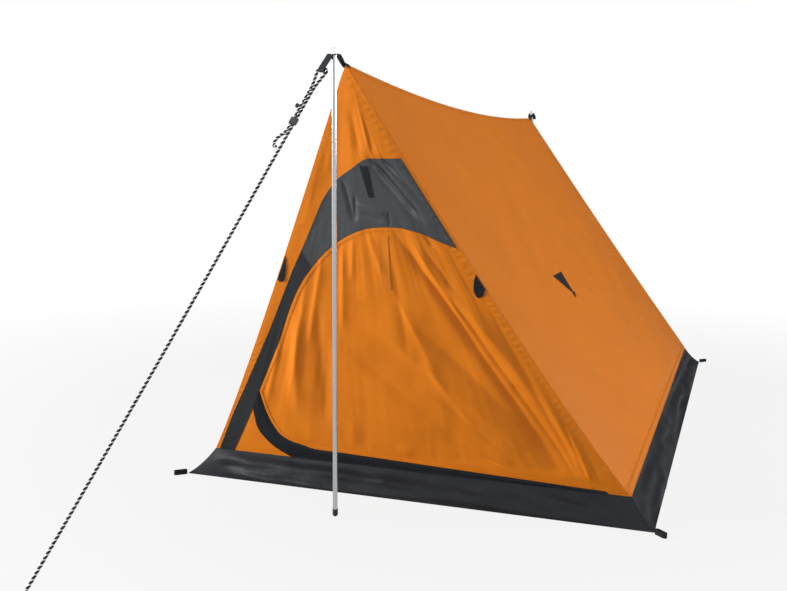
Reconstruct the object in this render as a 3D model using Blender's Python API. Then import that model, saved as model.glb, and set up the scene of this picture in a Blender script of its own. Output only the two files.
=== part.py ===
"""A-frame mountaineering tent: single-skin canopy, sewn-in floor, arched door and an outside pole at each end.

Metres, +Z up. The door end faces -Y, and +X is on the right of someone who faces the door.
The cloth is first drawn as one skin. Each sewn panel is then thickened from its own part of that skin,
so neighbouring panels meet in mitred seams with a small gap between them.
Everything is drawn about the middle of the front ground line, then moved so that the origin is
at the bottom centre of the tent's bounding box.
"""

import math

import bmesh
import bpy
import numpy as np
from mathutils import Matrix, Vector

# Tent body
BASE_WIDTH = 1.220
BASE_LENGTH = 2.200
SKIRT_HEIGHT = 0.065
SKIRT_INSET_SIDE = 0.060
SKIRT_INSET_END = 0.045
SKIRT_FLARE = 0.007
FRONT_HEIGHT = 1.035
REAR_HEIGHT = 1.020
FRONT_OVERHANG = 0.330
REAR_SETBACK = 0.515
FRONT_APEX_SIDE = -0.030
REAR_APEX_SIDE = -0.060
FRONT_EDGE_BOW = {"left": 0.010, "right": 0.034}
FRONT_EDGE_SKEW = 0.70
REAR_EDGE_BOW = 0.006
RIDGE_SAG = 0.034
CLOTH = 0.0016
SEAM_GAP = 0.0003
FIT = 0.0004

# Door, as heights above the ground and distances right of the centre line
PANEL_TOP_HEIGHT = 0.846
DOOR_TOP_HEIGHT = 0.658
PANEL_BORDER = 0.008
DOOR_CORNER_INSET = 0.058
DOOR_CORNER_HEIGHT = 0.071
FLAP_LAP = 0.003
DOOR_SWING_DEG = 70.0

# Zip
ZIP_TAPE_WIDTH = 0.012
ZIP_TAPE_THICKNESS = 0.0008
ZIP_COIL_WIDTH = 0.003
ZIP_COIL_THICKNESS = 0.0022
ZIP_END_MARGIN = 0.022
SLIDER_LENGTH = 0.020
SLIDER_WIDTH = 0.010
SLIDER_THICKNESS = 0.0016
SLIDER_TRAVEL = 0.66
PULL_LENGTH = 0.030
PULL_WIDTH = 0.0085
PULL_THICKNESS = 0.0012
PULL_SWING_DEG = 150.0

# Poles
POLE_RADIUS = 0.0056
POLE_WALL = 0.0010
POLE_SECTIONS = 3
SPIGOT_REACH = 0.045
TIP_RADIUS = 0.00325
TIP_REACH = 0.013
FOOT_CAP_RADIUS = 0.0065
FOOT_CAP_LENGTH = 0.020
FRONT_POLE_FOOT = (-0.115, -0.165)
REAR_POLE_FOOT = (-0.060, BASE_LENGTH + 0.070)
FRONT_POLE_LEAD = (-0.015, -0.028, 0.018)
REAR_POLE_LEAD = (0.0, 0.028, 0.018)
FRONT_POLE_TILT_DEG = 7.0
REAR_POLE_TILT_DEG = 10.0

# Apex straps and their eyelets
STRAP_WIDTH = 0.020
STRAP_THICKNESS = 0.0016
STRAP_FLAT = 0.009
STRAP_DROP = 0.027
STRAP_REACH = 0.023
EYELET_BORE = 0.0042
EYELET_WALL = 0.0009
EYELET_FLANGE = 0.0075
EYELET_FLANGE_THICKNESS = 0.0008

# Webbing pieces
LOOP_LENGTH = 0.036
LOOP_WIDTH = 0.012
LOOP_HEIGHT = 0.012
LOOP_THICKNESS = 0.0015
LOOP_LIFT_DEG = 40.0
RIDGE_TAPE_WIDTH = 0.016
RIDGE_TAPE_THICKNESS = 0.0010
RIDGE_TAPE_END = 0.030
DOOR_TAPE_WIDTH = 0.022
DOOR_TAPE_SIDE = 0.000
DOOR_TAPE_TOP = 0.676
DOOR_TAPE_BOTTOM = 0.548
PANEL_STRAP_WIDTH = (0.018, 0.011)
PANEL_STRAP_TOP = (-0.019, 0.828)
PANEL_STRAP_BOTTOM = (-0.010, 0.760)
PATCH_THICKNESS = 0.0012
EDGE_PATCH_HEIGHT = 0.567
SIDE_PATCH_FRONT = 0.372
SIDE_PATCH_REAR = 0.438
SIDE_PATCH_TIP = 0.421
SIDE_PATCH_TOP_LEVEL = 0.490
SIDE_PATCH_TIP_LEVEL = 0.425
SIDE_PATCH_TIP_WIDTH = 0.014
SIDE_LOOP_WIDTH = 0.012
SIDE_LOOP_TAIL = 0.012
RING_WIRE = 0.0014
RING_DROP = 0.013
RING_SWING_DEG = 90.0

# Guyline
CORD_RADIUS = 0.0035
GUY_GROUND = (-0.486, -0.817)
HEAD_BEND = 0.0045
GUY_SPREAD = 0.0042
GUY_CONVERGE = 0.040
GUY_DOUBLED = 0.140
RUNNER_LENGTH = 0.014
RUNNER_AT = 0.122
RUNNER_TRAVEL = (-0.008, 0.020)
RUNNER_WALL = 0.0012
BEAD_RADIUS = 0.0052
BEAD_AT = 0.088
END_KNOT_RADIUS = 0.0065
END_LOOP_LENGTH = 0.075
END_LOOP_WIDTH = 0.034

ORANGE = ((0.72, 0.24, 0.03), 0.55, 0.0)
BLACK_CLOTH = ((0.030, 0.033, 0.040), 0.70, 0.0)
WEBBING = ((0.020, 0.024, 0.028), 0.80, 0.0)
ALUMINIUM = ((0.78, 0.79, 0.80), 0.30, 1.0)
STEEL = ((0.60, 0.60, 0.62), 0.35, 1.0)
BLACK_PLASTIC = ((0.015, 0.015, 0.017), 0.45, 0.0)
CORD = ((0.020, 0.020, 0.022), 0.75, 0.0)

# Derived sizes of the tent body
TOP_HALF_WIDTH = BASE_WIDTH / 2 - SKIRT_INSET_SIDE
GROUND_Z = CLOTH / 2
WALL_RISE = FRONT_HEIGHT - SKIRT_HEIGHT
WALL_RUN = FRONT_OVERHANG + SKIRT_INSET_END
WALL_SLOPE = math.hypot(WALL_RISE, WALL_RUN)
WALL_COS = WALL_RISE / WALL_SLOPE
WALL_SIN = WALL_RUN / WALL_SLOPE
FRONT_APEX = np.array([FRONT_APEX_SIDE, -FRONT_OVERHANG, FRONT_HEIGHT])
REAR_APEX = np.array([REAR_APEX_SIDE, BASE_LENGTH - REAR_SETBACK, REAR_HEIGHT])
SIDES = {"left": -1.0, "right": 1.0}

# Segments of the two front seams, from the skirt up to the apex, as (height share, count) steps
LEFT_SEAM_STEPS = ((0.139, 4), (0.196, 2), (0.341, 3), (0.600, 4), (0.780, 3), (1.000, 2))
RIGHT_SEAM_STEPS = (
    ((DOOR_TOP_HEIGHT - SKIRT_HEIGHT) / WALL_RISE, 10),
    ((PANEL_TOP_HEIGHT - SKIRT_HEIGHT) / WALL_RISE, 4),
    (1.000, 4),
)
RIDGE_SEGMENTS = 18
REAR_ROWS = 8

# Tension folds of the front cloth: start, end (side, height), width and depth outwards
FOLD_MARGIN = 0.024
FOLD_EASE = 0.060
FOLDS = (
    ((0.150, 0.560), (0.480, 0.120), 0.034, 0.010),
    ((0.080, 0.480), (0.440, 0.110), 0.032, -0.008),
    ((-0.060, 0.470), (0.360, 0.110), 0.034, 0.007),
    ((-0.130, 0.400), (0.200, 0.110), 0.034, -0.005),
    ((-0.240, 0.480), (-0.290, 0.190), 0.026, 0.006),
    ((-0.180, 0.520), (-0.210, 0.170), 0.026, -0.004),
    ((-0.045, 0.960), (-0.160, 0.760), 0.022, -0.003),
)


def lerp(start, end, share):
    return start + (end - start) * share


def unit(vector):
    return vector / np.linalg.norm(vector)


def stepped(start, steps):
    """Rising values from start, evenly spread inside each (end value, count) step."""
    values = [start]
    for end, count in steps:
        begin = values[-1]
        values += [lerp(begin, end, (i + 1) / count) for i in range(count)]
    return values


def smooth_path(keys, counts):
    """Smooth curve through the key points, with counts[i] segments between key i and the next."""
    keys = [np.array(key, float) for key in keys]
    chords = [np.linalg.norm(b - a) for a, b in zip(keys, keys[1:])]
    slopes = [(b - a) / chord for a, b, chord in zip(keys, keys[1:], chords)]
    tangents = [slopes[0]]
    for i in range(1, len(slopes)):
        total = chords[i - 1] + chords[i]
        tangents.append((slopes[i - 1] * chords[i] + slopes[i] * chords[i - 1]) / total)
    tangents.append(slopes[-1])
    points = [keys[0]]
    for i, count in enumerate(counts):
        for step in range(1, count + 1):
            f = step / count
            start = (1 + 2 * f) * (1 - f) ** 2
            end = f * f * (3 - 2 * f)
            leave = f * (1 - f) ** 2 * chords[i]
            arrive = f * f * (f - 1) * chords[i]
            points.append(
                start * keys[i] + end * keys[i + 1] + leave * tangents[i] + arrive * tangents[i + 1]
            )
    return points


def on_wall(side, height):
    """Flat coordinates on the front wall: distance right of the centre, and up its slope from the skirt."""
    return np.array([side, (height - SKIRT_HEIGHT) / WALL_COS])


def across_wall(share, height):
    """Flat point on the front wall, at a share of the way across from its left seam to its right one."""
    rise = (height - SKIRT_HEIGHT) / WALL_RISE
    left = lerp(-TOP_HALF_WIDTH, FRONT_APEX_SIDE, rise)
    right = lerp(TOP_HALF_WIDTH, FRONT_APEX_SIDE, rise)
    return on_wall(lerp(left, right, share), height)


def wall_point(flat, out=0.0):
    """Point of the front wall, moved out by a distance along its outward normal."""
    side, rise = flat
    return np.array(
        [
            side,
            SKIRT_INSET_END - rise * WALL_SIN - out * WALL_COS,
            SKIRT_HEIGHT + rise * WALL_COS - out * WALL_SIN,
        ]
    )


def front_seam(side, share):
    """Flat point of the front seam of one side, bowed in as a tight cut edge is."""
    base = np.array([SIDES[side] * TOP_HALF_WIDTH, 0.0])
    apex = np.array([FRONT_APEX_SIDE, WALL_SLOPE])
    along = unit(apex - base)
    inward = np.array([-along[1], along[0]]) * SIDES[side]
    bow = FRONT_EDGE_BOW[side] * math.sin(math.pi * share**FRONT_EDGE_SKEW)
    return lerp(base, apex, share) + inward * bow


def rear_seam(side, share):
    """Point of the rear seam of one side, in the plane of the rear wall."""
    base = np.array([SIDES[side] * TOP_HALF_WIDTH, BASE_LENGTH - SKIRT_INSET_END, SKIRT_HEIGHT])
    bow = REAR_EDGE_BOW * math.sin(math.pi * share)
    return lerp(base, REAR_APEX, share) - np.array([SIDES[side] * bow, 0.0, 0.0])


def ridge_point(share):
    point = lerp(FRONT_APEX, REAR_APEX, share)
    return point - np.array([0.0, 0.0, 4 * RIDGE_SAG * share * (1 - share)])


def roof_point(side, along, up):
    """Blended surface between the ridge, the two end seams and the skirt seam of one side."""
    corner = {
        (0, 0): wall_point(front_seam(side, 0.0)),
        (0, 1): FRONT_APEX,
        (1, 0): rear_seam(side, 0.0),
        (1, 1): REAR_APEX,
    }
    low = lerp(corner[0, 0], corner[1, 0], along)
    across = lerp(low, ridge_point(along), up)
    lengthwise = lerp(wall_point(front_seam(side, up)), rear_seam(side, up), along)
    blend = lerp(lerp(corner[0, 0], corner[1, 0], along), lerp(corner[0, 1], corner[1, 1], along), up)
    return across + lengthwise - blend


def segment_distance(point, start, end):
    run = end - start
    share = np.clip(np.dot(point - start, run) / max(np.dot(run, run), 1e-12), 0.0, 1.0)
    return np.linalg.norm(point - lerp(start, end, share))


def fold_depth(flat):
    """Outward height of the tension folds at a flat point of the front wall."""
    depth = 0.0
    for start, end, width, height in FOLDS:
        distance = segment_distance(flat, on_wall(*start), on_wall(*end))
        depth += height * math.exp(-((distance / width) ** 2))
    return depth


def eased(distance):
    """Rises from 0 at the calm margin beside a seam to 1 further in."""
    share = min(1.0, max(0.0, (distance - FOLD_MARGIN) / FOLD_EASE))
    return share * share * (3 - 2 * share)


def path_distance(point, path):
    return min(segment_distance(point, a, b) for a, b in zip(path, path[1:]))


def folded(grid):
    """Rows of wall points with the tension folds, which die out towards the seams at both ends."""
    first = [row[0] for row in grid]
    last = [row[-1] for row in grid]
    placed = []
    for row in grid:
        points = []
        for flat in row:
            strength = eased(path_distance(flat, first)) * eased(path_distance(flat, last))
            points.append(wall_point(flat, fold_depth(flat) * strength))
        placed.append(points)
    return placed


class Skin:
    """Shared points of all sewn cloth, with the faces of each panel."""

    def __init__(self):
        self.points = []
        self.index = {}
        self.panels = {}
        self.lift = {}

    def vertex(self, point):
        key = tuple(round(float(value), 6) for value in point)
        if key not in self.index:
            self.index[key] = len(self.points)
            self.points.append(np.array(point, float))
        return self.index[key]

    def add_face(self, panel, points, outward):
        ids = []
        for point in points:
            i = self.vertex(point)
            if i not in ids:
                ids.append(i)
        if len(ids) < 3:
            return
        if np.dot(self.normal(ids), outward) < 0:
            ids.reverse()
        self.panels.setdefault(panel, []).append(ids)

    def add_grid(self, panel, grid, outward):
        for row, next_row in zip(grid, grid[1:]):
            for i in range(len(row) - 1):
                self.add_face(panel, [row[i], row[i + 1], next_row[i + 1], next_row[i]], outward)

    def normal(self, ids):
        """Normal of a face, as long as twice its area."""
        corners = [self.points[i] for i in ids]
        total = np.zeros(3)
        for a, b in zip(corners, corners[1:] + corners[:1]):
            total += np.cross(a, b)
        return total

    def mitre(self):
        """Offset of each point that lifts every panel round it by half the cloth."""
        meeting = {}
        for faces in self.panels.values():
            sums = {}
            for ids in faces:
                for i in ids:
                    sums[i] = sums.get(i, 0) + self.normal(ids)
            for i, total in sums.items():
                meeting.setdefault(i, []).append(unit(total))
        for i, normals in meeting.items():
            matrix = np.array(normals)
            self.lift[i] = np.linalg.pinv(matrix, rcond=0.2) @ np.full(len(normals), CLOTH / 2)

    def pulled_back(self, faces):
        """In-plane shift of each edge point that opens half of the seam gap."""
        directed = {}
        for ids in faces:
            for a, b in zip(ids, ids[1:] + ids[:1]):
                directed[a, b] = unit(self.normal(ids))
        rows = {}
        for (a, b), normal in directed.items():
            if (b, a) in directed:
                continue
            inward = unit(np.cross(normal, self.points[b] - self.points[a]))
            for i in (a, b):
                rows.setdefault(i, []).append((inward, normal))
        shift = {}
        for i, pairs in rows.items():
            matrix = np.array([inward for inward, _ in pairs] + [normal for _, normal in pairs])
            target = np.array([SEAM_GAP] * len(pairs) + [0.0] * len(pairs))
            shift[i] = np.linalg.pinv(matrix, rcond=0.05) @ target
        return shift

    def solid(self, panel):
        """Vertices and faces of the panel's closed solid."""
        faces = self.panels[panel]
        shift = self.pulled_back(faces)
        used = sorted({i for ids in faces for i in ids})
        place = {i: n for n, i in enumerate(used)}
        outer = [self.points[i] + self.lift[i] + shift.get(i, 0) for i in used]
        inner = [self.points[i] - self.lift[i] + shift.get(i, 0) for i in used]
        count = len(used)
        solid_faces = [[place[i] for i in ids] for ids in faces]
        solid_faces += [[place[i] + count for i in reversed(ids)] for ids in faces]
        directed = {(a, b) for ids in faces for a, b in zip(ids, ids[1:] + ids[:1])}
        for a, b in sorted(directed):
            if (b, a) not in directed:
                solid_faces.append([place[b], place[a], place[a] + count, place[b] + count])
        return outer + inner, solid_faces


def material(name, look):
    colour, roughness, metallic = look
    made = bpy.data.materials.get(name) or bpy.data.materials.new(name)
    made.use_nodes = True
    shader = made.node_tree.nodes["Principled BSDF"]
    shader.inputs["Base Color"].default_value = (*colour, 1.0)
    shader.inputs["Roughness"].default_value = roughness
    shader.inputs["Metallic"].default_value = metallic
    return made


class Tent:
    """The objects made so far, all children of one empty that sets the origin."""

    def __init__(self):
        self.root = bpy.data.objects.new("tent_origin", None)
        bpy.context.collection.objects.link(self.root)
        self.objects = {}
        self.cords = []

    def add(self, name, mesh, look, pivot=(0.0, 0.0, 0.0), smooth_deg=35.0):
        """Object whose origin is at pivot; the mesh is given in tent coordinates."""
        mesh.transform(Matrix.Translation(-Vector(pivot)))
        mesh.shade_smooth()
        mesh.set_sharp_from_angle(angle=math.radians(smooth_deg))
        mesh.materials.append(material(name + "_material", look))
        made = bpy.data.objects.new(name, mesh)
        made.location = pivot
        made.parent = self.root
        bpy.context.collection.objects.link(made)
        self.objects[name] = made
        return made

    def add_tube(self, name, points, radius, look, cyclic=False, resolution=2):
        """Cord along the points, with filled ends."""
        curve = bpy.data.curves.new(name, "CURVE")
        curve.dimensions = "3D"
        curve.bevel_depth = radius
        curve.bevel_resolution = resolution
        curve.use_fill_caps = True
        spline = curve.splines.new("POLY")
        spline.points.add(len(points) - 1)
        for target, point in zip(spline.points, points):
            target.co = (*point, 1.0)
        spline.use_cyclic_u = cyclic
        curve.materials.append(material(name + "_material", look))
        made = bpy.data.objects.new(name, curve)
        made.parent = self.root
        bpy.context.collection.objects.link(made)
        self.objects[name] = made
        return made

    def settle_origin(self):
        """Moves everything so that the origin is at the bottom centre of all but the guyline."""
        bpy.context.view_layer.update()
        graph = bpy.context.evaluated_depsgraph_get()
        corners = []
        for name, made in self.objects.items():
            if name in self.cords:
                continue
            evaluated = made.evaluated_get(graph)
            mesh = evaluated.to_mesh()
            corners += [made.matrix_world @ vertex.co for vertex in mesh.vertices]
            evaluated.to_mesh_clear()
        spread = np.array(corners)
        low = spread.min(0)
        high = spread.max(0)
        self.root.location = (-(low[0] + high[0]) / 2, -(low[1] + high[1]) / 2, -low[2])
        bpy.context.view_layer.update()


def mesh_from(name, vertices, faces):
    mesh = bpy.data.meshes.new(name)
    mesh.from_pydata([tuple(v) for v in vertices], [], faces)
    bm = bmesh.new()
    bm.from_mesh(mesh)
    bmesh.ops.remove_doubles(bm, verts=bm.verts, dist=1e-7)
    bmesh.ops.recalc_face_normals(bm, faces=bm.faces)
    bm.to_mesh(mesh)
    bm.free()
    return mesh


def lofted(name, rings, closed=False):
    """Solid through rings of equal point counts; open ones get an end face at each end."""
    size = len(rings[0])
    vertices = [point for ring in rings for point in ring]
    faces = []
    spans = len(rings) if closed else len(rings) - 1
    for k in range(spans):
        here = k * size
        there = (k + 1) % len(rings) * size
        for i in range(size):
            j = (i + 1) % size
            faces.append([here + i, here + j, there + j, there + i])
    if not closed:
        faces.append(list(range(size)))
        faces.append([(len(rings) - 1) * size + i for i in range(size)])
    return mesh_from(name, vertices, faces)


def turned(name, profile, base, axis, steps=24):
    """Solid of revolution of a closed (radius, height) outline about an axis through base."""
    bm = bmesh.new()
    verts = [bm.verts.new((radius, 0.0, height)) for radius, height in profile]
    edges = [bm.edges.new((a, b)) for a, b in zip(verts, verts[1:] + verts[:1])]
    bmesh.ops.spin(
        bm,
        geom=verts + edges,
        cent=(0, 0, 0),
        axis=(0, 0, 1),
        angle=2 * math.pi,
        steps=steps,
        use_merge=True,
    )
    bmesh.ops.remove_doubles(bm, verts=bm.verts, dist=1e-6)
    loose = [edge for edge in bm.edges if not edge.link_faces]
    bmesh.ops.delete(bm, geom=loose, context="EDGES")
    flat = [face for face in bm.faces if face.calc_area() < 1e-12]
    bmesh.ops.delete(bm, geom=flat, context="FACES")
    bmesh.ops.recalc_face_normals(bm, faces=bm.faces)
    turn = Vector((0, 0, 1)).rotation_difference(Vector(axis)).to_matrix().to_4x4()
    bm.transform(Matrix.Translation(Vector(base)) @ turn)
    mesh = bpy.data.meshes.new(name)
    bm.to_mesh(mesh)
    bm.free()
    return mesh


def tube_profile(inner, outer, low, high):
    return [(inner, low), (outer, low), (outer, high), (inner, high)]


def path_sides(points):
    """Unit sideways vector, to the left of travel, at each point of a flat path."""
    sides = []
    for i, point in enumerate(points):
        before = points[max(i - 1, 0)]
        after = points[min(i + 1, len(points) - 1)]
        along = unit(after - before)
        sides.append(np.array([-along[1], along[0]]))
    return sides


def wall_sweep(name, path, section):
    """Strip along a flat path of the front wall; section lists (sideways, outward) corners."""
    rings = []
    for point, sideways in zip(path, path_sides(path)):
        rings.append([wall_point(point + sideways * across, out) for across, out in section])
    return lofted(name, rings)


def wall_plate(name, outline, out):
    """Flat plate on the outside of the front wall, with its near face at a distance out."""
    near = [wall_point(point, out) for point in outline]
    far = [wall_point(point, out + PATCH_THICKNESS) for point in outline]
    return lofted(name, [near, far])


def frame_at(origin, up, towards):
    """Axes of a local frame: first towards a direction, square to up; third along up."""
    third = unit(np.array(up))
    first = unit(np.array(towards) - np.dot(towards, third) * third)
    second = np.cross(third, first)
    return np.array(origin), first, second, third


def from_frame(frame, x, y, z):
    origin, first, second, third = frame
    return origin + first * x + second * y + third * z


# Cloth

def door_paths():
    """Flat outlines of the front wall's panels, all as lists that start at the lower left."""
    left_shares = stepped(0.0, LEFT_SEAM_STEPS)
    right_shares = stepped(0.0, RIGHT_SEAM_STEPS)
    seam_left = [front_seam("left", share) for share in left_shares]
    seam_right = [front_seam("right", share) for share in right_shares]
    border = np.array([PANEL_BORDER, 0.0])
    hinge_steps = RIGHT_SEAM_STEPS[0][1]
    panel_steps = RIGHT_SEAM_STEPS[1][1]
    tip = seam_right[hinge_steps] - border
    shoulder = seam_right[hinge_steps + panel_steps] - border
    arch_left = smooth_path(
        [
            across_wall(0.0118, SKIRT_HEIGHT),
            across_wall(0.0197, 0.200),
            across_wall(0.0273, 0.255),
            across_wall(0.0491, 0.396),
            across_wall(0.1104, 0.648),
            across_wall(0.2698, 0.796),
            across_wall(0.5636, 0.841),
        ],
        [count for _, count in LEFT_SEAM_STEPS],
    )
    arch_top = smooth_path([arch_left[-1], shoulder], [4])
    panel_edge = [point - border for point in seam_right[hinge_steps : hinge_steps + panel_steps]]
    outer = arch_left + arch_top[1:] + panel_edge[::-1]
    inner = smooth_path(
        [
            across_wall(0.05, SKIRT_HEIGHT),
            across_wall(0.0683, 0.200),
            across_wall(0.0735, 0.253),
            across_wall(0.0924, 0.365),
            across_wall(0.1663, 0.586),
            across_wall(0.2982, 0.656),
            across_wall(0.4474, 0.687),
            across_wall(0.6842, 0.693),
            tip,
        ],
        [4, 2, 3, 4, 3, 2, 4, 4],
    )
    corner = on_wall(TOP_HALF_WIDTH - DOOR_CORNER_INSET, DOOR_CORNER_HEIGHT)
    zip_low = smooth_path(
        [inner[6], across_wall(0.1159, 0.185), across_wall(0.1658, 0.130), across_wall(0.2544, 0.098)],
        [2, 2, 3],
    )
    zip_low += [lerp(zip_low[-1], corner, (i + 1) / 11) for i in range(11)]
    flap_low = smooth_path(
        [inner[4], across_wall(0.1055, 0.132), across_wall(0.1526, 0.093), across_wall(0.2036, SKIRT_HEIGHT)],
        [1, 1, 2],
    )
    flap_end = on_wall(TOP_HALF_WIDTH - DOOR_CORNER_INSET + FLAP_LAP, SKIRT_HEIGHT)
    flap_low += [lerp(flap_low[-1], flap_end, (i + 1) / 14) for i in range(14)]
    return {
        "seam_left": seam_left,
        "seam_right": seam_right,
        "outer": outer,
        "inner": inner,
        "zip_low": zip_low,
        "flap_low": flap_low,
        "tip": tip,
        "corner": corner,
        "flap_end": flap_end,
    }


def ruled(first, second, shares):
    return [[lerp(a, b, share) for share in shares] for a, b in zip(first, second)]


def door_zip_path(paths):
    """The zip line, from the top right of the door round the arch and along the bottom."""
    return paths["inner"][:5:-1] + paths["zip_low"][1:]


def draw_front(skin, paths):
    """Adds the five panels of the front wall; returns the wall's lower edge from left to right."""
    outward = wall_point((0, 0), 1.0) - wall_point((0, 0), 0.0)
    hinge_count = RIGHT_SEAM_STEPS[0][1] - 1
    hinge = [lerp(paths["tip"], paths["corner"], (i + 1) / hinge_count) for i in range(hinge_count)]
    seam = paths["seam_left"] + paths["seam_right"][-2::-1]
    inside = paths["outer"] + hinge + [paths["flap_end"]]
    quarters = [0.0, 0.25, 0.5, 0.75, 1.0]
    wall = ruled(seam, inside, quarters)
    arch = ruled(paths["outer"], paths["inner"], quarters)
    gusset = ruled(paths["inner"][:5], paths["flap_low"][4::-1], [0.0, 1 / 3, 2 / 3, 1.0])
    flap = ruled(paths["flap_low"], paths["zip_low"], [0.0, 0.5, 1.0])
    flap[0][1] = paths["inner"][5]
    zip_path = door_zip_path(paths)
    last = len(zip_path) - 1
    hinge_line = [lerp(paths["tip"], paths["corner"], i / last) for i in range(last + 1)]
    shares = [0.0, 0.04, 0.12, 0.24, 0.37, 0.5, 0.63, 0.76, 0.88, 0.96, 1.0]
    door = ruled(zip_path, hinge_line, shares)

    wall_grid = folded(wall)
    arch_grid = [[wall_point(flat) for flat in row] for row in arch]
    gusset_grid = [[wall_point(flat) for flat in row] for row in gusset]
    flap_grid = [[wall_point(flat) for flat in row] for row in flap]
    door_grid = folded(door)
    skin.add_grid("front_wall", wall_grid, outward)
    skin.add_grid("front_arch_panel", arch_grid, outward)
    skin.add_grid("front_corner_gusset", gusset_grid, outward)
    skin.add_grid("door_zip_flap", flap_grid, outward)
    skin.add_grid("door_panel", door_grid, outward)
    lower = wall_grid[0] + arch_grid[0][1:] + gusset_grid[0][1:]
    lower += [row[0] for row in flap_grid[5:]]
    return lower + wall_grid[-1][-2::-1]


def skirt_grid(top, bottom):
    """Three rows from the ground up to the seam, the middle one lowered so that the skirt flares."""
    middle = [lerp(b, t, 0.5) - np.array([0, 0, SKIRT_FLARE]) for t, b in zip(top, bottom)]
    return [bottom, middle, top]


def draw_skin(paths):
    skin = Skin()
    front_top = draw_front(skin, paths)
    shares = {"left": stepped(0.0, LEFT_SEAM_STEPS), "right": stepped(0.0, RIGHT_SEAM_STEPS)}
    along = [i / RIDGE_SEGMENTS for i in range(RIDGE_SEGMENTS + 1)]
    ground = {}
    for side, sign in SIDES.items():
        grid = [[roof_point(side, u, v) for u in along] for v in shares[side]]
        skin.add_grid("roof_panel_" + side, grid, np.array([sign, 0.0, 0.6]))
        bottom = [np.array([sign * BASE_WIDTH / 2, BASE_LENGTH * u, GROUND_Z]) for u in along]
        skin.add_grid("skirt_" + side, skirt_grid(grid[0], bottom), np.array([sign, 0.0, 1.0]))
        ground[side] = bottom
    rear = []
    for left_share, right_share in zip(shares["left"], shares["right"]):
        start = rear_seam("left", left_share)
        end = rear_seam("right", right_share)
        rear.append([lerp(start, end, i / REAR_ROWS) for i in range(REAR_ROWS + 1)])
    skin.add_grid("rear_wall", rear, np.array([0.0, 1.0, 0.4]))
    widen = BASE_WIDTH / 2 / TOP_HALF_WIDTH
    front_ground = [np.array([point[0] * widen, 0.0, GROUND_Z]) for point in front_top]
    rear_ground = [np.array([point[0] * widen, BASE_LENGTH, GROUND_Z]) for point in rear[0]]
    skin.add_grid("skirt_front", skirt_grid(front_top, front_ground), np.array([0.0, -1.0, 1.0]))
    skin.add_grid("skirt_rear", skirt_grid(rear[0], rear_ground), np.array([0.0, 1.0, 1.0]))
    outline = front_ground + ground["right"] + rear_ground[::-1] + ground["left"][::-1]
    skin.add_face("floor", outline, np.array([0.0, 0.0, -1.0]))
    skin.mitre()
    return skin


def add_cloth(tent, paths):
    skin = draw_skin(paths)
    black = {"front_arch_panel", "door_zip_flap", "skirt_left", "skirt_right", "skirt_front", "skirt_rear"}
    hinge = wall_point(paths["corner"], -CLOTH / 2)
    for panel in skin.panels:
        vertices, faces = skin.solid(panel)
        look = BLACK_CLOTH if panel in black or panel == "floor" else ORANGE
        pivot = hinge if panel == "door_panel" else (0.0, 0.0, 0.0)
        tent.add(panel, mesh_from(panel, vertices, faces), look, pivot)
    return skin


# Zip and front details

def trimmed(path, start, end):
    """Part of a flat path between two distances from its ends."""
    lengths = [0.0]
    for a, b in zip(path, path[1:]):
        lengths.append(lengths[-1] + np.linalg.norm(b - a))
    total = lengths[-1]
    kept = []
    for limit in (start, total - end):
        i = max(k for k, length in enumerate(lengths[:-1]) if length <= limit)
        share = (limit - lengths[i]) / (lengths[i + 1] - lengths[i])
        kept.append(lerp(path[i], path[i + 1], share))
    between = [p for p, length in zip(path, lengths) if start + 1e-4 < length < total - end - 1e-4]
    return [kept[0]] + between + [kept[1]]


def add_zip(tent, paths):
    """Both halves of the zip behind the cloth, with its slider and pull at the closed end."""
    path = trimmed(door_zip_path(paths), ZIP_END_MARGIN, ZIP_END_MARGIN)
    near = -CLOTH / 2 - FIT
    hinge = wall_point(paths["corner"], -CLOTH / 2)
    for name, sign, pivot in (("zip_tape_door", 1.0, hinge), ("zip_tape_wall", -1.0, (0, 0, 0))):
        inner = sign * SEAM_GAP
        coil = sign * ZIP_COIL_WIDTH
        edge = sign * ZIP_TAPE_WIDTH
        section = [
            (inner, near),
            (edge, near),
            (edge, near - ZIP_TAPE_THICKNESS),
            (coil, near - ZIP_TAPE_THICKNESS),
            (coil, near - ZIP_COIL_THICKNESS),
            (inner, near - ZIP_COIL_THICKNESS),
        ]
        tent.add(name, wall_sweep(name, path, section), BLACK_CLOTH, pivot)
    along = unit(path[-2] - path[-1])
    start = path[-1] - along * (SLIDER_LENGTH / 2 - ZIP_END_MARGIN / 2)
    origin = wall_point(start, near - ZIP_COIL_THICKNESS - FIT)
    inwards = wall_point(start, -1.0) - wall_point(start, 0.0)
    travel = wall_point(start + along) - wall_point(start)
    frame = frame_at(origin, inwards, travel)
    add_slider(tent, frame)
    return {"slider": origin, "slider_axis": frame[1], "pull_axis": -frame[2]}


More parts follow.
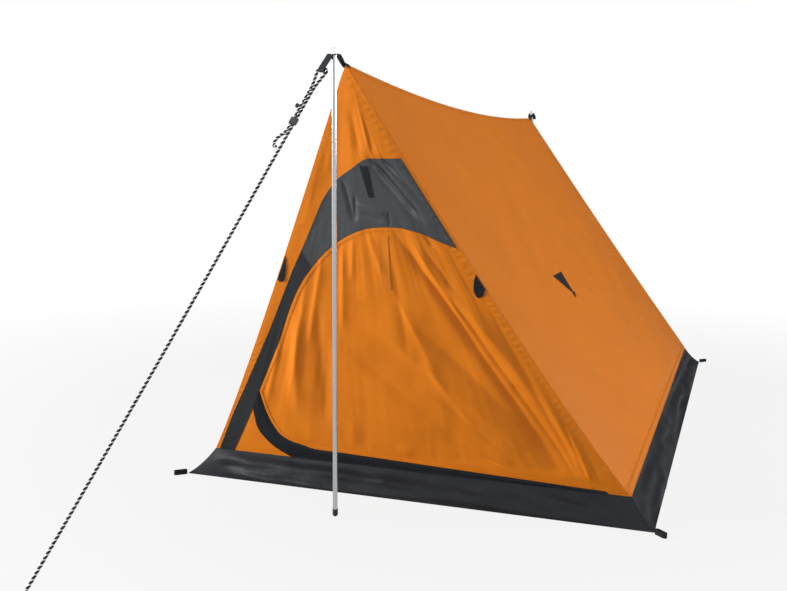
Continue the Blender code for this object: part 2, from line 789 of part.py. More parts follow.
def add_slider(tent, frame):
    """Zip slider: a waisted plate with a bridge, and a pull whose eye goes under the bridge."""
    half = SLIDER_LENGTH / 2
    wide = SLIDER_WIDTH / 2
    outline = [(-half, wide * 0.7), (0, wide), (half, wide * 0.8), (half, -wide * 0.8), (0, -wide), (-half, -wide * 0.7)]
    plate = lofted(
        "zip_slider",
        [[from_frame(frame, x, y, z) for x, y in outline] for z in (0.0, SLIDER_THICKNESS)],
    )
    slider = tent.add("zip_slider", plate, STEEL, frame[0])
    wire = PULL_THICKNESS
    clear = wire + 2 * FIT
    foot = 0.0016
    reach = clear / 2 + FIT
    bridge_path = [
        (-reach - foot, SLIDER_THICKNESS - foot / 2),
        (-reach - foot, SLIDER_THICKNESS + clear + foot),
        (reach + foot, SLIDER_THICKNESS + clear + foot),
        (reach + foot, SLIDER_THICKNESS - foot / 2),
        (reach, SLIDER_THICKNESS - foot / 2),
        (reach, SLIDER_THICKNESS + clear),
        (-reach, SLIDER_THICKNESS + clear),
        (-reach, SLIDER_THICKNESS - foot / 2),
    ]
    bridge_rings = [[from_frame(frame, x, y, z) for x, z in bridge_path] for y in (-0.0015, 0.0015)]
    bridge_mesh = lofted("zip_bridge", bridge_rings)
    bridge_mesh.transform(Matrix.Translation(-Vector(frame[0])))
    bridge = bpy.data.objects.new("zip_bridge", bridge_mesh)
    bridge.location = frame[0]
    bridge.parent = tent.root
    bridge.hide_render = True
    bridge.display_type = "WIRE"
    bpy.context.collection.objects.link(bridge)
    joined = slider.modifiers.new("bridge", "BOOLEAN")
    joined.operation = "UNION"
    joined.object = bridge
    axis_height = SLIDER_THICKNESS + clear / 2
    eye_inner = 0.0015 + FIT
    eye_outer = PULL_WIDTH / 2
    pull_start = -wire / 2
    eye_end = math.hypot(reach + foot, clear / 2 + foot) + FIT
    low = axis_height - wire / 2
    outer = [
        (pull_start, -eye_outer),
        (PULL_LENGTH * 0.92, -eye_outer),
        (PULL_LENGTH, -eye_outer * 0.55),
        (PULL_LENGTH, eye_outer * 0.55),
        (PULL_LENGTH * 0.92, eye_outer),
        (pull_start, eye_outer),
    ]
    hole = [
        (pull_start + wire, -eye_inner),
        (eye_end, -eye_inner),
        (eye_end, -eye_inner),
        (eye_end, eye_inner),
        (eye_end, eye_inner),
        (pull_start + wire, eye_inner),
    ]
    rings = []
    for outline, z in ((outer, low), (outer, low + wire), (hole, low + wire), (hole, low)):
        rings.append([from_frame(frame, x, y, z) for x, y in outline])
    pivot = from_frame(frame, 0.0, 0.0, axis_height)
    tent.add("zip_pull", lofted("zip_pull", rings, closed=True), STEEL, pivot)


def add_front_details(tent, paths):
    """Sewn tapes and patches on the outside of the front wall."""
    out = CLOTH / 2 + FIT
    hinge = wall_point(paths["corner"], -CLOTH / 2)
    half = DOOR_TAPE_WIDTH / 2
    section = [(-half, out), (half, out), (half, out + PATCH_THICKNESS), (-half, out + PATCH_THICKNESS)]
    top = on_wall(DOOR_TAPE_SIDE, DOOR_TAPE_TOP)
    bottom = on_wall(DOOR_TAPE_SIDE, DOOR_TAPE_BOTTOM)
    tape = wall_sweep("door_tape", [lerp(top, bottom, i / 4) for i in range(5)], section)
    tent.add("door_tape", tape, ORANGE, hinge)
    upper = on_wall(*PANEL_STRAP_TOP)
    lower = on_wall(*PANEL_STRAP_BOTTOM)
    wide, narrow = PANEL_STRAP_WIDTH
    outline = [
        upper + np.array([-wide / 2, 0.0]),
        upper + np.array([wide / 2, 0.0]),
        lower + np.array([narrow / 2, 0.0]),
        lower + np.array([-narrow / 2, 0.0]),
    ]
    tent.add("panel_strap", wall_plate("panel_strap", outline, out), WEBBING)
    share = (EDGE_PATCH_HEIGHT - SKIRT_HEIGHT) / WALL_RISE
    teardrop = [(-0.028, 0.0), (-0.022, 0.008), (-0.006, 0.015), (0.010, 0.013), (0.024, 0.004), (0.030, -0.001)]
    teardrop += [(0.020, -0.005), (0.004, -0.010), (-0.012, -0.012), (-0.024, -0.008)]
    for side, sign in SIDES.items():
        centre = front_seam(side, share)
        up = unit(front_seam(side, share + 0.01) - centre)
        inward = np.array([-up[1], up[0]]) * sign
        outline = [centre + up * a + inward * b for a, b in teardrop]
        name = "edge_patch_" + side
        tent.add(name, wall_plate(name, outline, out), WEBBING)


def add_side_guys(tent):
    """Tapered patch on each roof panel, and the ring that hangs from its lower end."""
    near = CLOTH / 2 + 2 * FIT
    hangers = {}
    for side, sign in SIDES.items():
        rows = 3
        columns = 6
        length = BASE_LENGTH
        grid = []
        for r in range(rows + 1):
            down = r / rows
            middle = lerp((SIDE_PATCH_FRONT + SIDE_PATCH_REAR) / 2, SIDE_PATCH_TIP, down)
            top_width = SIDE_PATCH_REAR - SIDE_PATCH_FRONT
            width = lerp(top_width, SIDE_PATCH_TIP_WIDTH / length, down)
            level = lerp(SIDE_PATCH_TOP_LEVEL, SIDE_PATCH_TIP_LEVEL, down)
            grid.append([(middle + width * (c / columns - 0.5), level) for c in range(columns + 1)])
        rings = []
        for r in range(rows + 1):
            lower = []
            upper = []
            for along, up in grid[r]:
                point = roof_point(side, along, up)
                ahead = roof_point(side, along + 0.01, up) - point
                above = roof_point(side, along, up + 0.01) - point
                normal = unit(np.cross(ahead, above)) * sign
                lower.append(point + normal * near)
                upper.append(point + normal * (near + PATCH_THICKNESS))
            rings.append(lower + upper[::-1])
        name = "side_patch_" + side
        tent.add(name, lofted(name, rings), WEBBING)
        tip = roof_point(side, SIDE_PATCH_TIP, SIDE_PATCH_TIP_LEVEL)
        ahead = unit(roof_point(side, SIDE_PATCH_TIP + 0.01, SIDE_PATCH_TIP_LEVEL) - tip)
        down = unit(roof_point(side, SIDE_PATCH_TIP, SIDE_PATCH_TIP_LEVEL - 0.01) - tip)
        normal = unit(np.cross(down, ahead)) * sign
        down = np.cross(ahead, normal) * sign
        eye_radius = RING_WIRE + SEAM_GAP
        curl_radius = eye_radius + LOOP_THICKNESS
        centre = tip + normal * (CLOTH / 2 + 2 * FIT + curl_radius) + down * (curl_radius + FIT)
        add_side_loop(tent, side, (centre, ahead, down, normal), near + PATCH_THICKNESS + FIT)
        hangers[side] = (centre, ahead * -sign)
    return hangers


def add_side_loop(tent, side, frame, tail_out):
    """Webbing loop sewn to a side patch, and the D-ring whose straight bar it holds."""
    centre, ahead, down, normal = frame
    inner = RING_WIRE + SEAM_GAP
    outer = inner + LOOP_THICKNESS
    lift = CLOTH / 2 + 2 * FIT + outer
    tail_low = tail_out - lift
    tail_high = tail_low + LOOP_THICKNESS
    first = 180 - math.degrees(math.asin(tail_low / outer))
    last = 540 - math.degrees(math.asin(tail_high / outer))
    turn = [math.radians(lerp(first, last, i / 10)) for i in range(11)]
    gap = first + 360 - last
    spare = [math.radians(first - gap / 3), math.radians(last + gap / 3)]
    outline = [(-SIDE_LOOP_TAIL, tail_low)]
    outline += [(outer * math.cos(a), outer * math.sin(a)) for a in turn]
    outline += [(-SIDE_LOOP_TAIL, tail_high)]
    hole = [(inner * math.cos(a), inner * math.sin(a)) for a in [spare[0]] + turn + [spare[1]]]
    half = SIDE_LOOP_WIDTH / 2
    rings = []
    for shape, across in ((outline, -half), (outline, half), (hole, half), (hole, -half)):
        rings.append([centre + down * d + normal * n + ahead * across for d, n in shape])
    name = "side_loop_" + side
    tent.add(name, lofted(name, rings, closed=True), WEBBING)
    bar = half + 4 * FIT
    path = [np.array([a, 0.0]) for a in (-bar, -bar / 3, bar / 3, bar)]
    for i in range(13):
        angle = math.pi / 12 * i
        path.append(np.array([(bar + RING_WIRE) * math.cos(angle), RING_DROP * math.sin(angle)]))
    path[4] += np.array([0.0, RING_WIRE * 0.6])
    path[-1] += np.array([0.0, RING_WIRE * 0.6])
    rings = []
    for i, point in enumerate(path):
        along = unit(path[(i + 1) % len(path)] - path[i - 1])
        sideways = np.array([-along[1], along[0]])
        ring = []
        for k in range(8):
            angle = math.pi / 4 * k
            flat = point + sideways * RING_WIRE * math.cos(angle)
            ring.append(centre + ahead * flat[0] + down * flat[1] + normal * RING_WIRE * math.sin(angle))
        rings.append(ring)
    name = "side_ring_" + side
    tent.add(name, lofted(name, rings, closed=True), BLACK_PLASTIC, centre)


def add_ridge_tape(tent):
    """Webbing across the inside of the ridge that carries the pull from strap to strap."""
    clear = CLOTH + FIT
    near_ridge = 0.98
    rings = []
    inner_shares = [i / RIDGE_SEGMENTS for i in range(1, RIDGE_SEGMENTS)]
    for share in [RIDGE_TAPE_END] + inner_shares + [1 - RIDGE_TAPE_END]:
        spread = np.linalg.norm(roof_point("right", share, near_ridge) - roof_point("left", share, near_ridge))
        up = 1 - (1 - near_ridge) * (RIDGE_TAPE_WIDTH + 2 * clear) / spread
        left = roof_point("left", share, up)
        right = roof_point("right", share, up)
        inset = unit(right - left) * clear
        low = np.array([0.0, 0.0, RIDGE_TAPE_THICKNESS])
        rings.append([left + inset, right - inset, right - inset - low, left + inset - low])
    tent.add("ridge_tape", lofted("ridge_tape", rings), WEBBING)


# Poles and apex straps

def pole_frame(foot, apex, lead, towards):
    """Local frame at the eyelet, with its third axis up the pole."""
    base = np.array([foot[0], foot[1], FOOT_CAP_RADIUS])
    eyelet = apex + np.array(lead)
    return frame_at(eyelet, eyelet - base, towards), base


def add_pole(tent, end, frame, base):
    """Sectional pole from its round foot cap up to the pin in the eyelet."""
    up = frame[3]
    bore = POLE_RADIUS - POLE_WALL
    spigot = bore - SEAM_GAP
    shoulder = -(STRAP_THICKNESS / 2 + EYELET_FLANGE_THICKNESS + 2 * FIT)
    top = np.linalg.norm(frame[0] - base) + shoulder
    seat = FIT
    length = (top - seat) / POLE_SECTIONS
    pivot = from_frame(frame, 0.0, 0.0, shoulder)
    back = unit(np.array([0.0, 1.0, 0.0]) - up[1] * up)
    hinge = pivot + back * POLE_RADIUS
    names = ["lower", "middle", "upper"]
    for i, part in enumerate(names):
        low = seat + i * length
        high = low + length - SEAM_GAP
        name = f"{end}_pole_{part}"
        tube = turned(name, tube_profile(bore, POLE_RADIUS, low, high), base, up)
        tent.add(name, tube, ALUMINIUM, hinge if part == "upper" else base + up * high)
        if part != "upper":
            name = f"{end}_pole_spigot_{part}"
            profile = tube_profile(spigot - POLE_WALL, spigot, high - SPIGOT_REACH, high + SPIGOT_REACH)
            tent.add(name, turned(name, profile, base, up), ALUMINIUM, base + up * high)
    pin = [
        (0.0, top - 0.012),
        (bore - SEAM_GAP, top - 0.012),
        (bore - SEAM_GAP, top),
        (TIP_RADIUS, top),
        (TIP_RADIUS, top - shoulder + TIP_REACH - 0.001),
        (TIP_RADIUS - 0.001, top - shoulder + TIP_REACH),
        (0.0, top - shoulder + TIP_REACH),
    ]
    tent.add(f"{end}_pole_tip", turned(f"{end}_pole_tip", pin, base, up), ALUMINIUM, hinge)
    clear = POLE_RADIUS + SEAM_GAP
    dome = [(FOOT_CAP_RADIUS * math.sin(a), -FOOT_CAP_RADIUS * math.cos(a)) for a in
            [math.radians(15 * i) for i in range(7)]]
    cap = dome + [(FOOT_CAP_RADIUS, FOOT_CAP_LENGTH - FOOT_CAP_RADIUS), (clear, FOOT_CAP_LENGTH - FOOT_CAP_RADIUS)]
    cap += [(clear, 0.0), (0.0, 0.0)]
    tent.add(f"{end}_pole_foot", turned(f"{end}_pole_foot", cap, base, up), BLACK_PLASTIC, base + up * length)
    return hinge


def strap_path(frame, apex):
    """Side view of an apex strap: up from the cloth, flat over the pole, down and round the cord eye."""
    origin, first, _, third = frame
    back = np.dot(apex - origin, first)
    fall = np.dot(apex - origin, third)
    rise = CLOTH + STRAP_THICKNESS / 2 + SEAM_GAP
    eye_radius = CORD_RADIUS + SEAM_GAP + STRAP_THICKNESS / 2
    slope = math.atan2(-STRAP_DROP, STRAP_REACH)
    curl_start = np.array([STRAP_FLAT + STRAP_REACH, -STRAP_DROP])
    along = np.array([math.cos(slope), math.sin(slope)])
    side = np.array([along[1], -along[0]])
    centre = curl_start + side * eye_radius
    points = [np.array([back, fall + rise]), np.array([-STRAP_FLAT, 0.0]), np.array([STRAP_FLAT, 0.0]), curl_start]
    steps = 12
    for i in range(1, steps + 1):
        angle = math.radians(318) * i / steps
        turned_out = -side * math.cos(angle) + along * math.sin(angle)
        points.append(centre + turned_out * eye_radius)
    return points, centre


def add_strap(tent, end, frame, apex):
    """Webbing strap over one pole top, with its turned eyelet."""
    points, eye = strap_path(frame, apex)
    sides = path_sides(points)
    half = STRAP_THICKNESS / 2
    outline = [p + s * half for p, s in zip(points, sides)]
    outline += [p - s * half for p, s in zip(points[::-1], sides[::-1])]
    wide = STRAP_WIDTH / 2
    count = len(points)
    rings = []
    for i in range(count):
        top = outline[i]
        low = outline[2 * count - 1 - i]
        rings.append(
            [
                from_frame(frame, top[0], -wide, top[1]),
                from_frame(frame, top[0], wide, top[1]),
                from_frame(frame, low[0], wide, low[1]),
                from_frame(frame, low[0], -wide, low[1]),
            ]
        )
    name = f"{end}_strap"
    strap = tent.add(name, lofted(name, rings), WEBBING)
    bore = EYELET_BORE + EYELET_WALL + SEAM_GAP
    cutter_mesh = turned(name + "_hole", [(0, -0.01), (bore, -0.01), (bore, 0.01), (0, 0.01)], frame[0], frame[3])
    cutter = bpy.data.objects.new(name + "_hole", cutter_mesh)
    cutter.parent = tent.root
    cutter.hide_render = True
    cutter.display_type = "WIRE"
    bpy.context.collection.objects.link(cutter)
    hole = strap.modifiers.new("eyelet_hole", "BOOLEAN")
    hole.operation = "DIFFERENCE"
    hole.object = cutter
    inner = half + SEAM_GAP
    outer = inner + EYELET_FLANGE_THICKNESS
    barrel = EYELET_BORE + EYELET_WALL
    grommet = [
        (EYELET_BORE, -outer),
        (EYELET_FLANGE, -outer),
        (EYELET_FLANGE, -inner),
        (barrel, -inner),
        (barrel, inner),
        (EYELET_FLANGE, inner),
        (EYELET_FLANGE, outer),
        (EYELET_BORE, outer),
    ]
    tent.add(f"{end}_eyelet", turned(f"{end}_eyelet", grommet, frame[0], frame[3]), STEEL)
    return from_frame(frame, eye[0], 0.0, eye[1])


# Corner loops and guyline

def add_corner_loops(tent, skin):
    """Peg loop at each ground corner, standing on edge so that a peg goes down through it."""
    hinges = {}
    for end, y, ahead in (("front", 0.0, -1.0), ("rear", BASE_LENGTH, 1.0)):
        for side, sign in SIDES.items():
            corner = np.array([sign * BASE_WIDTH / 2, y, GROUND_Z])
            lift = skin.lift[skin.vertex(corner)]
            away = unit(np.array([sign, ahead, 0.0]))
            start = corner + away * (np.dot(lift, away) + FIT)
            start[2] = 0.0
            across = np.array([-away[1], away[0], 0.0])
            round_radius = LOOP_WIDTH / 2
            outline = []
            for centre, begin in ((round_radius, 90), (LOOP_LENGTH - round_radius, -90)):
                for i in range(7):
                    angle = math.radians(begin + 30 * i)
                    outline.append((centre, math.cos(angle), math.sin(angle)))
            rings = []
            for radius, low, high in ((round_radius, 0.0003, LOOP_HEIGHT), (round_radius - LOOP_THICKNESS, LOOP_HEIGHT, 0.0003)):
                for z in (low, high):
                    rings.append(
                        [start + away * (c + radius * ca) + across * radius * sa + np.array([0, 0, z]) for c, ca, sa in outline]
                    )
            name = f"corner_loop_{end}_{side}"
            tent.add(name, lofted(name, rings, closed=True), WEBBING, start)
            hinges[name] = (start, -across)
    return hinges


def add_guyline(tent, frame, eye):
    """Guyline: a doubled top with its runner, the slack tail, and the single line down to its end loop."""
    _, _, second, _ = frame
    ground = np.array([GUY_GROUND[0], GUY_GROUND[1], END_KNOT_RADIUS])
    down = unit(ground - eye)
    across = unit(second - np.dot(second, down) * down)

    def at(distance, sideways):
        return eye + down * distance + across * sideways

    edge = STRAP_WIDTH / 2 + FIT
    half = []
    for i in range(7):
        angle = math.pi / 12 * i
        half.append(at(HEAD_BEND * (1 - math.cos(angle)), edge + HEAD_BEND * math.sin(angle)))
    half += smooth_path(
        [
            half[-1],
            at(GUY_CONVERGE * 0.55, (edge + HEAD_BEND + GUY_SPREAD) / 2),
            at(GUY_CONVERGE, GUY_SPREAD + 0.0008),
            at(GUY_CONVERGE * 1.25, GUY_SPREAD),
        ],
        [3, 2, 1],
    )[1:]
    half.append(at(GUY_DOUBLED, GUY_SPREAD))
    mirrored = [point - across * 2 * np.dot(point - eye, across) for point in half]
    tent.add_tube("guyline_head_loop", mirrored[::-1] + half, CORD_RADIUS, CORD)

    rings = []
    runner_half = RUNNER_LENGTH / 2
    depth_axis = np.cross(down, across)
    hole = CORD_RADIUS + SEAM_GAP
    wide = GUY_SPREAD + hole + RUNNER_WALL
    deep = hole + RUNNER_WALL
    outline = [(-wide, -deep * 0.6), (-wide * 0.8, -deep), (wide * 0.8, -deep), (wide, -deep * 0.6)]
    outline += [(wide, deep * 0.6), (wide * 0.8, deep), (-wide * 0.8, deep), (-wide, deep * 0.6)]
    for distance in (RUNNER_AT - runner_half, RUNNER_AT + runner_half):
        rings.append([at(distance, a) + depth_axis * b for a, b in outline])
    runner = tent.add("guyline_runner", lofted("guyline_runner", rings), BLACK_PLASTIC)
    for i, sign in enumerate((-1, 1)):
        base = at(RUNNER_AT - 2 * runner_half, sign * GUY_SPREAD)
        profile = [(0, 0), (hole, 0), (hole, 4 * runner_half), (0, 4 * runner_half)]
        drill_mesh = turned(f"runner_hole_{i}", profile, base, down, steps=16)
        drill = bpy.data.objects.new(f"runner_hole_{i}", drill_mesh)
        drill.parent = tent.root
        drill.hide_render = True
        drill.display_type = "WIRE"
        bpy.context.collection.objects.link(drill)
        cut = runner.modifiers.new(f"hole_{i}", "BOOLEAN")
        cut.operation = "DIFFERENCE"
        cut.object = drill

    bead_centre = at(BEAD_AT, -(GUY_SPREAD + CORD_RADIUS + BEAD_RADIUS + SEAM_GAP))
    ball = [(BEAD_RADIUS * math.sin(a), -BEAD_RADIUS * math.cos(a)) for a in
            [math.radians(20 * i) for i in range(10)]]
    tent.add("guyline_bead", turned("guyline_bead", ball, bead_centre, down, steps=16), CORD)

    start = at(GUY_DOUBLED + SEAM_GAP, GUY_SPREAD)
    end = ground + unit(start - ground) * (END_KNOT_RADIUS + SEAM_GAP)
    sag = np.array([0.0, 0.0, -0.004])
    line = [start] + smooth_path([start + down * 0.004, lerp(start, end, 0.5) + sag, end], [28, 28])
    tent.add_tube("guyline", line, CORD_RADIUS, CORD)

    low = GUY_DOUBLED + SEAM_GAP
    tail_keys = [
        at(low + 0.004, -GUY_SPREAD),
        at(low + 0.012, -GUY_SPREAD - 0.005),
        at(low + 0.021, -GUY_SPREAD - 0.014),
        at(low + 0.032, -GUY_SPREAD - 0.019),
        at(low + 0.043, -GUY_SPREAD - 0.014),
        at(low + 0.044, -GUY_SPREAD - 0.006),
    ]
    tail = [at(low, -GUY_SPREAD)] + smooth_path(tail_keys, [2, 2, 3, 3, 2])
    tent.add_tube("guyline_tail", tail, CORD_RADIUS, CORD)

    knot = turned("guyline_end_knot", [(END_KNOT_RADIUS * math.sin(a), -END_KNOT_RADIUS * math.cos(a)) for a in
                  [math.radians(20 * i) for i in range(10)]], ground, (0, 0, 1), steps=16)
    tent.add("guyline_end_knot", knot, CORD)
    outwards = unit(np.array([down[0], down[1], 0.0]))
    beside = np.array([-outwards[1], outwards[0], 0.0])
    middle = np.array([ground[0], ground[1], CORD_RADIUS + 0.0002])
    middle = middle + outwards * (END_KNOT_RADIUS + SEAM_GAP + CORD_RADIUS + END_LOOP_LENGTH / 2)
    loop = []
    for i in range(24):
        angle = 2 * math.pi * i / 24
        loop.append(
            middle
            + outwards * math.cos(angle) * END_LOOP_LENGTH / 2
            + beside * math.sin(angle) * END_LOOP_WIDTH / 2
        )
    tent.add_tube("guyline_end_loop", loop, CORD_RADIUS, CORD, cyclic=True)
    tent.cords += ["guyline_head_loop", "guyline_runner", "guyline_bead", "guyline", "guyline_tail"]
    tent.cords += ["guyline_end_knot", "guyline_end_loop"]
    return at(RUNNER_AT, 0.0), -down


def report(tent, name, point, axis, low, high):
    """Prints where a moving piece turns or slides, and how far."""
    place = np.array(point) + np.array(tent.root.location)
    print(name, "at", np.round(place, 5).tolist(), "axis", np.round(axis, 5).tolist(), "range", low, high)


def main():
    for existing in list(bpy.data.objects):
        bpy.data.objects.remove(existing, do_unlink=True)
    tent = Tent()
    paths = door_paths()
    skin = add_cloth(tent, paths)
    zip_parts = add_zip(tent, paths)
    add_front_details(tent, paths)
    hangers = add_side_guys(tent)
    add_ridge_tape(tent)
    front_eyelet = FRONT_APEX + np.array(FRONT_POLE_LEAD)
    guy_direction = np.array([*GUY_GROUND, END_KNOT_RADIUS]) - front_eyelet
    front, front_base = pole_frame(FRONT_POLE_FOOT, FRONT_APEX, FRONT_POLE_LEAD, guy_direction)
    rear, rear_base = pole_frame(REAR_POLE_FOOT, REAR_APEX, REAR_POLE_LEAD, (0.0, 1.0, 0.0))
    front_hinge = add_pole(tent, "front", front, front_base)
    rear_hinge = add_pole(tent, "rear", rear, rear_base)
    front_eye = add_strap(tent, "front", front, FRONT_APEX)
    add_strap(tent, "rear", rear, REAR_APEX)
    loops = add_corner_loops(tent, skin)
    runner, runner_axis = add_guyline(tent, front, front_eye)
    tent.settle_origin()

    print("origin moved by", [round(value, 6) for value in tent.root.location])
    corner = wall_point(paths["corner"], -CLOTH / 2)
    door_axis = unit(wall_point(paths["corner"]) - wall_point(paths["tip"]))
    report(tent, "door_swing", corner, door_axis, 0, DOOR_SWING_DEG)
    report(tent, "zip_slide", zip_parts["slider"], zip_parts["slider_axis"], 0, SLIDER_TRAVEL)
    report(tent, "zip_pull_swing", tent.objects["zip_pull"].location, zip_parts["pull_axis"], 0, PULL_SWING_DEG)
    report(tent, "front_pole_tilt", front_hinge, (1, 0, 0), 0, FRONT_POLE_TILT_DEG)
    report(tent, "rear_pole_tilt", rear_hinge, (1, 0, 0), 0, REAR_POLE_TILT_DEG)
    report(tent, "front_pole_pull", front_base, -front[3], 0, SPIGOT_REACH)
    report(tent, "rear_pole_pull", rear_base, -rear[3], 0, SPIGOT_REACH)
    report(tent, "guyline_runner_slide", runner, runner_axis, *RUNNER_TRAVEL)
    for name, (place, axis) in loops.items():
        report(tent, name + "_lift", place, axis, 0, LOOP_LIFT_DEG)
    for side, (eye, axis) in hangers.items():
        report(tent, f"side_ring_{side}_swing", eye, axis, 0, RING_SWING_DEG)


main()
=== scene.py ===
"""A-frame mountaineering tent, dressed in cloth, webbing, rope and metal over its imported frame.

Metres, +Z up. The door end faces -Y, and +X is on the right of someone who faces the door.
Shapes are first worked out about the middle of the front ground line, and ORIGIN then moves them
into the frame's own axes.
"""

import math

import bmesh
import bpy
import numpy as np
from bpy.props import FloatProperty, FloatVectorProperty, PointerProperty
from mathutils import Matrix, Vector


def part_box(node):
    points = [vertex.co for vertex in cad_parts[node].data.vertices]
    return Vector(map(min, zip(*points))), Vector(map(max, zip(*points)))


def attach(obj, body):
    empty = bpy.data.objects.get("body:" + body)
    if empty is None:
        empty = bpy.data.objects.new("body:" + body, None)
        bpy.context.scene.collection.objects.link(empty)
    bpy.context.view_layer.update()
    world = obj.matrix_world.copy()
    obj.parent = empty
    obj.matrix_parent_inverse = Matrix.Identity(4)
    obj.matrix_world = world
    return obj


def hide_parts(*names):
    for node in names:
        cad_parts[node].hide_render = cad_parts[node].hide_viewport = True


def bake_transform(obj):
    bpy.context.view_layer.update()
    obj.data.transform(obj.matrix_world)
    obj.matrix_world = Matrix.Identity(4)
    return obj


bl_info = {
    "name": "Mountaineering Tent",
    "version": (1, 0, 0),
    "blender": (4, 5, 0),
    "location": "3D View > Sidebar > Tent",
    "description": "Dresses the packed frame of an A-frame tent with cloth, webbing, rope and a studio",
    "category": "Object",
}

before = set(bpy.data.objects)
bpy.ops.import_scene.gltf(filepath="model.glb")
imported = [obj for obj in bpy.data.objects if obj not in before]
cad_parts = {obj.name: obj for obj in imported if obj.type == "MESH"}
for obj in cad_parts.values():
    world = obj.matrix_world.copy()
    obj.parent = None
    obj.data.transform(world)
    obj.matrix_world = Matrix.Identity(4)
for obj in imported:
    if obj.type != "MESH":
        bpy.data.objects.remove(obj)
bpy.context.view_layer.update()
FLOOR_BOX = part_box("floor")

BASE_WIDTH = 1.220
BASE_LENGTH = 2.200
ORIGIN = np.array([0.0, (FLOOR_BOX[0].y + FLOOR_BOX[1].y) / 2 - BASE_LENGTH / 2, 0.0])
SKIRT_HEIGHT = 0.065
SKIRT_INSET_SIDE = 0.060
SKIRT_INSET_END = 0.045
SKIRT_FLARE = 0.007
TOP_HALF_WIDTH = BASE_WIDTH / 2 - SKIRT_INSET_SIDE
FRONT_APEX = np.array([-0.030, -0.330, 1.035])
REAR_APEX = np.array([-0.060, BASE_LENGTH - 0.515, 1.020])
FRONT_EDGE_BOW = {"left": 0.010, "right": 0.018}
SOLID_EDGE_BOW = {"left": 0.010, "right": 0.034}
FRONT_EDGE_SKEW = 0.70
REAR_EDGE_BOW = 0.006
RIDGE_SAG = 0.034
SIDES = {"left": -1.0, "right": 1.0}
SOLID_CLOTH = 0.0016
GROUND_Z = SOLID_CLOTH / 2
FIT = 0.0004
WALL_RISE = FRONT_APEX[2] - SKIRT_HEIGHT
WALL_RUN = SKIRT_INSET_END - FRONT_APEX[1]
WALL_SLOPE = math.hypot(WALL_RISE, WALL_RUN)
WALL_COS = WALL_RISE / WALL_SLOPE
WALL_SIN = WALL_RUN / WALL_SLOPE
WALL_OUT = np.array([0.0, -WALL_COS, -WALL_SIN])
DOOR_TOP_HEIGHT = 0.658
PANEL_TOP_HEIGHT = 0.846
DOOR_CORNER = (0.492, 0.071)
PANEL_BORDER = 0.008
LEFT_SEAM_STEPS = ((0.139, 4), (0.196, 2), (0.341, 3), (0.600, 4), (0.780, 3), (1.000, 2))
RIGHT_SEAM_STEPS = (
    ((DOOR_TOP_HEIGHT - SKIRT_HEIGHT) / WALL_RISE, 10),
    ((PANEL_TOP_HEIGHT - SKIRT_HEIGHT) / WALL_RISE, 4),
    (1.000, 4),
)
ZIP_MARGIN = 0.022
EYELET_OFFSET = np.array([-0.015, -0.028, 0.018])
POLE_FOOT = np.array([-0.115, -0.165, 0.0065])
REAR_EYELET_OFFSET = np.array([0.0, 0.028, 0.018])
REAR_POLE_FOOT = np.array([-0.060, BASE_LENGTH + 0.070, 0.0065])
STRAP_WIDTH = 0.020
STRAP_THICKNESS = 0.0016
CORD_RADIUS = 0.0035
GUY_GROUND = np.array([-0.486, -0.817, 0.0065])
ROOF_SLOPE = 1.16
REAR_CUT = (1.10, 1.07)
GUY_PULL = (0.421, 0.500)
PATCH_TOP = (0.372, 0.438)
PATCH_HEIGHTS = (0.490, 0.425)
PATCH_TIP_WIDTH = 0.014
EYELET_BORE = 0.0066
BOX_STITCH = {"width": 0.019, "top": 0.672, "middle": 0.572, "bottom": 0.551, "lean": 0.0075}
WEBBING = ("webbing_weave", "black_webbing")
UP = np.array([0.0, 0.0, 1.0])
ROOF_OUT = {side: np.array([sign, 0.0, 0.6]) for side, sign in SIDES.items()}

# Gap between a loop and what it holds
SLACK = 0.0003

# Peg loops and side loops: thickness and width of their webbing, radius of a peg loop's ends, half
# its length, and half the thickness of the side ring's wire
LOOP_WEBBING = 0.0015
PEG_LOOP_WIDTH = 0.0117
PEG_LOOP_HEIGHT = 0.00615
PEG_LOOP_RADIUS = 0.006
PEG_LOOP_HALF = 0.018
SIDE_LOOP_WEBBING = 0.0013
SIDE_LOOP_WIDTH = 0.012
RING_WIRE = 0.0014

# Distances of the stitch rows from the edge of a lap seam, and how far up they lie on it
LAP_ROWS = (0.0022, 0.0075)
LAP_STITCH_LIFT = 0.0019

# Cross-section of a lap seam, as (distance in from the edge, height)
SEAM_SECTION = (
    (-0.0011, 0.0001),
    (-0.0008, 0.0014),
    (0.0004, 0.0020),
    (0.0030, 0.0019),
    (0.0070, 0.0018),
    (0.0090, 0.0012),
    (0.0090, 0.0009),
    (0.0010, 0.0006),
)

# Outlines of the seam patches, as (distance up the seam from their centre, distance in from it)
SEAM_PATCHES = {
    "left": (
        (0.065, 0.001),
        (0.036, 0.011),
        (0.017, 0.015),
        (-0.003, 0.015),
        (-0.008, 0.008),
        (-0.006, 0.001),
    ),
    "right": (
        (0.043, 0.002),
        (0.023, 0.020),
        (0.005, 0.029),
        (-0.009, 0.027),
        (-0.010, 0.018),
        (0.002, 0.002),
    ),
}

# Tapes on the front wall, as (side, height) at both ends, and their widths there
DOOR_TAPE = ((0.008, 0.676), (0.0, 0.548))
DOOR_TAPE_WIDTHS = (0.022, 0.022)
PANEL_STRAP = ((-0.019, 0.828), (-0.010, 0.760))
PANEL_STRAP_WIDTHS = (0.018, 0.011)
SEAM_PATCH_HEIGHT = 0.567
RIDGE_TAPE_WIDTH = 0.016

# Apex straps in side view: half the flat part over the pole, the run down from it, and the turn
# round the guyline in degrees
STRAP_FLAT = (0.009, 0.0)
STRAP_DROP = (0.023, -0.027)
STRAP_TURN = 318

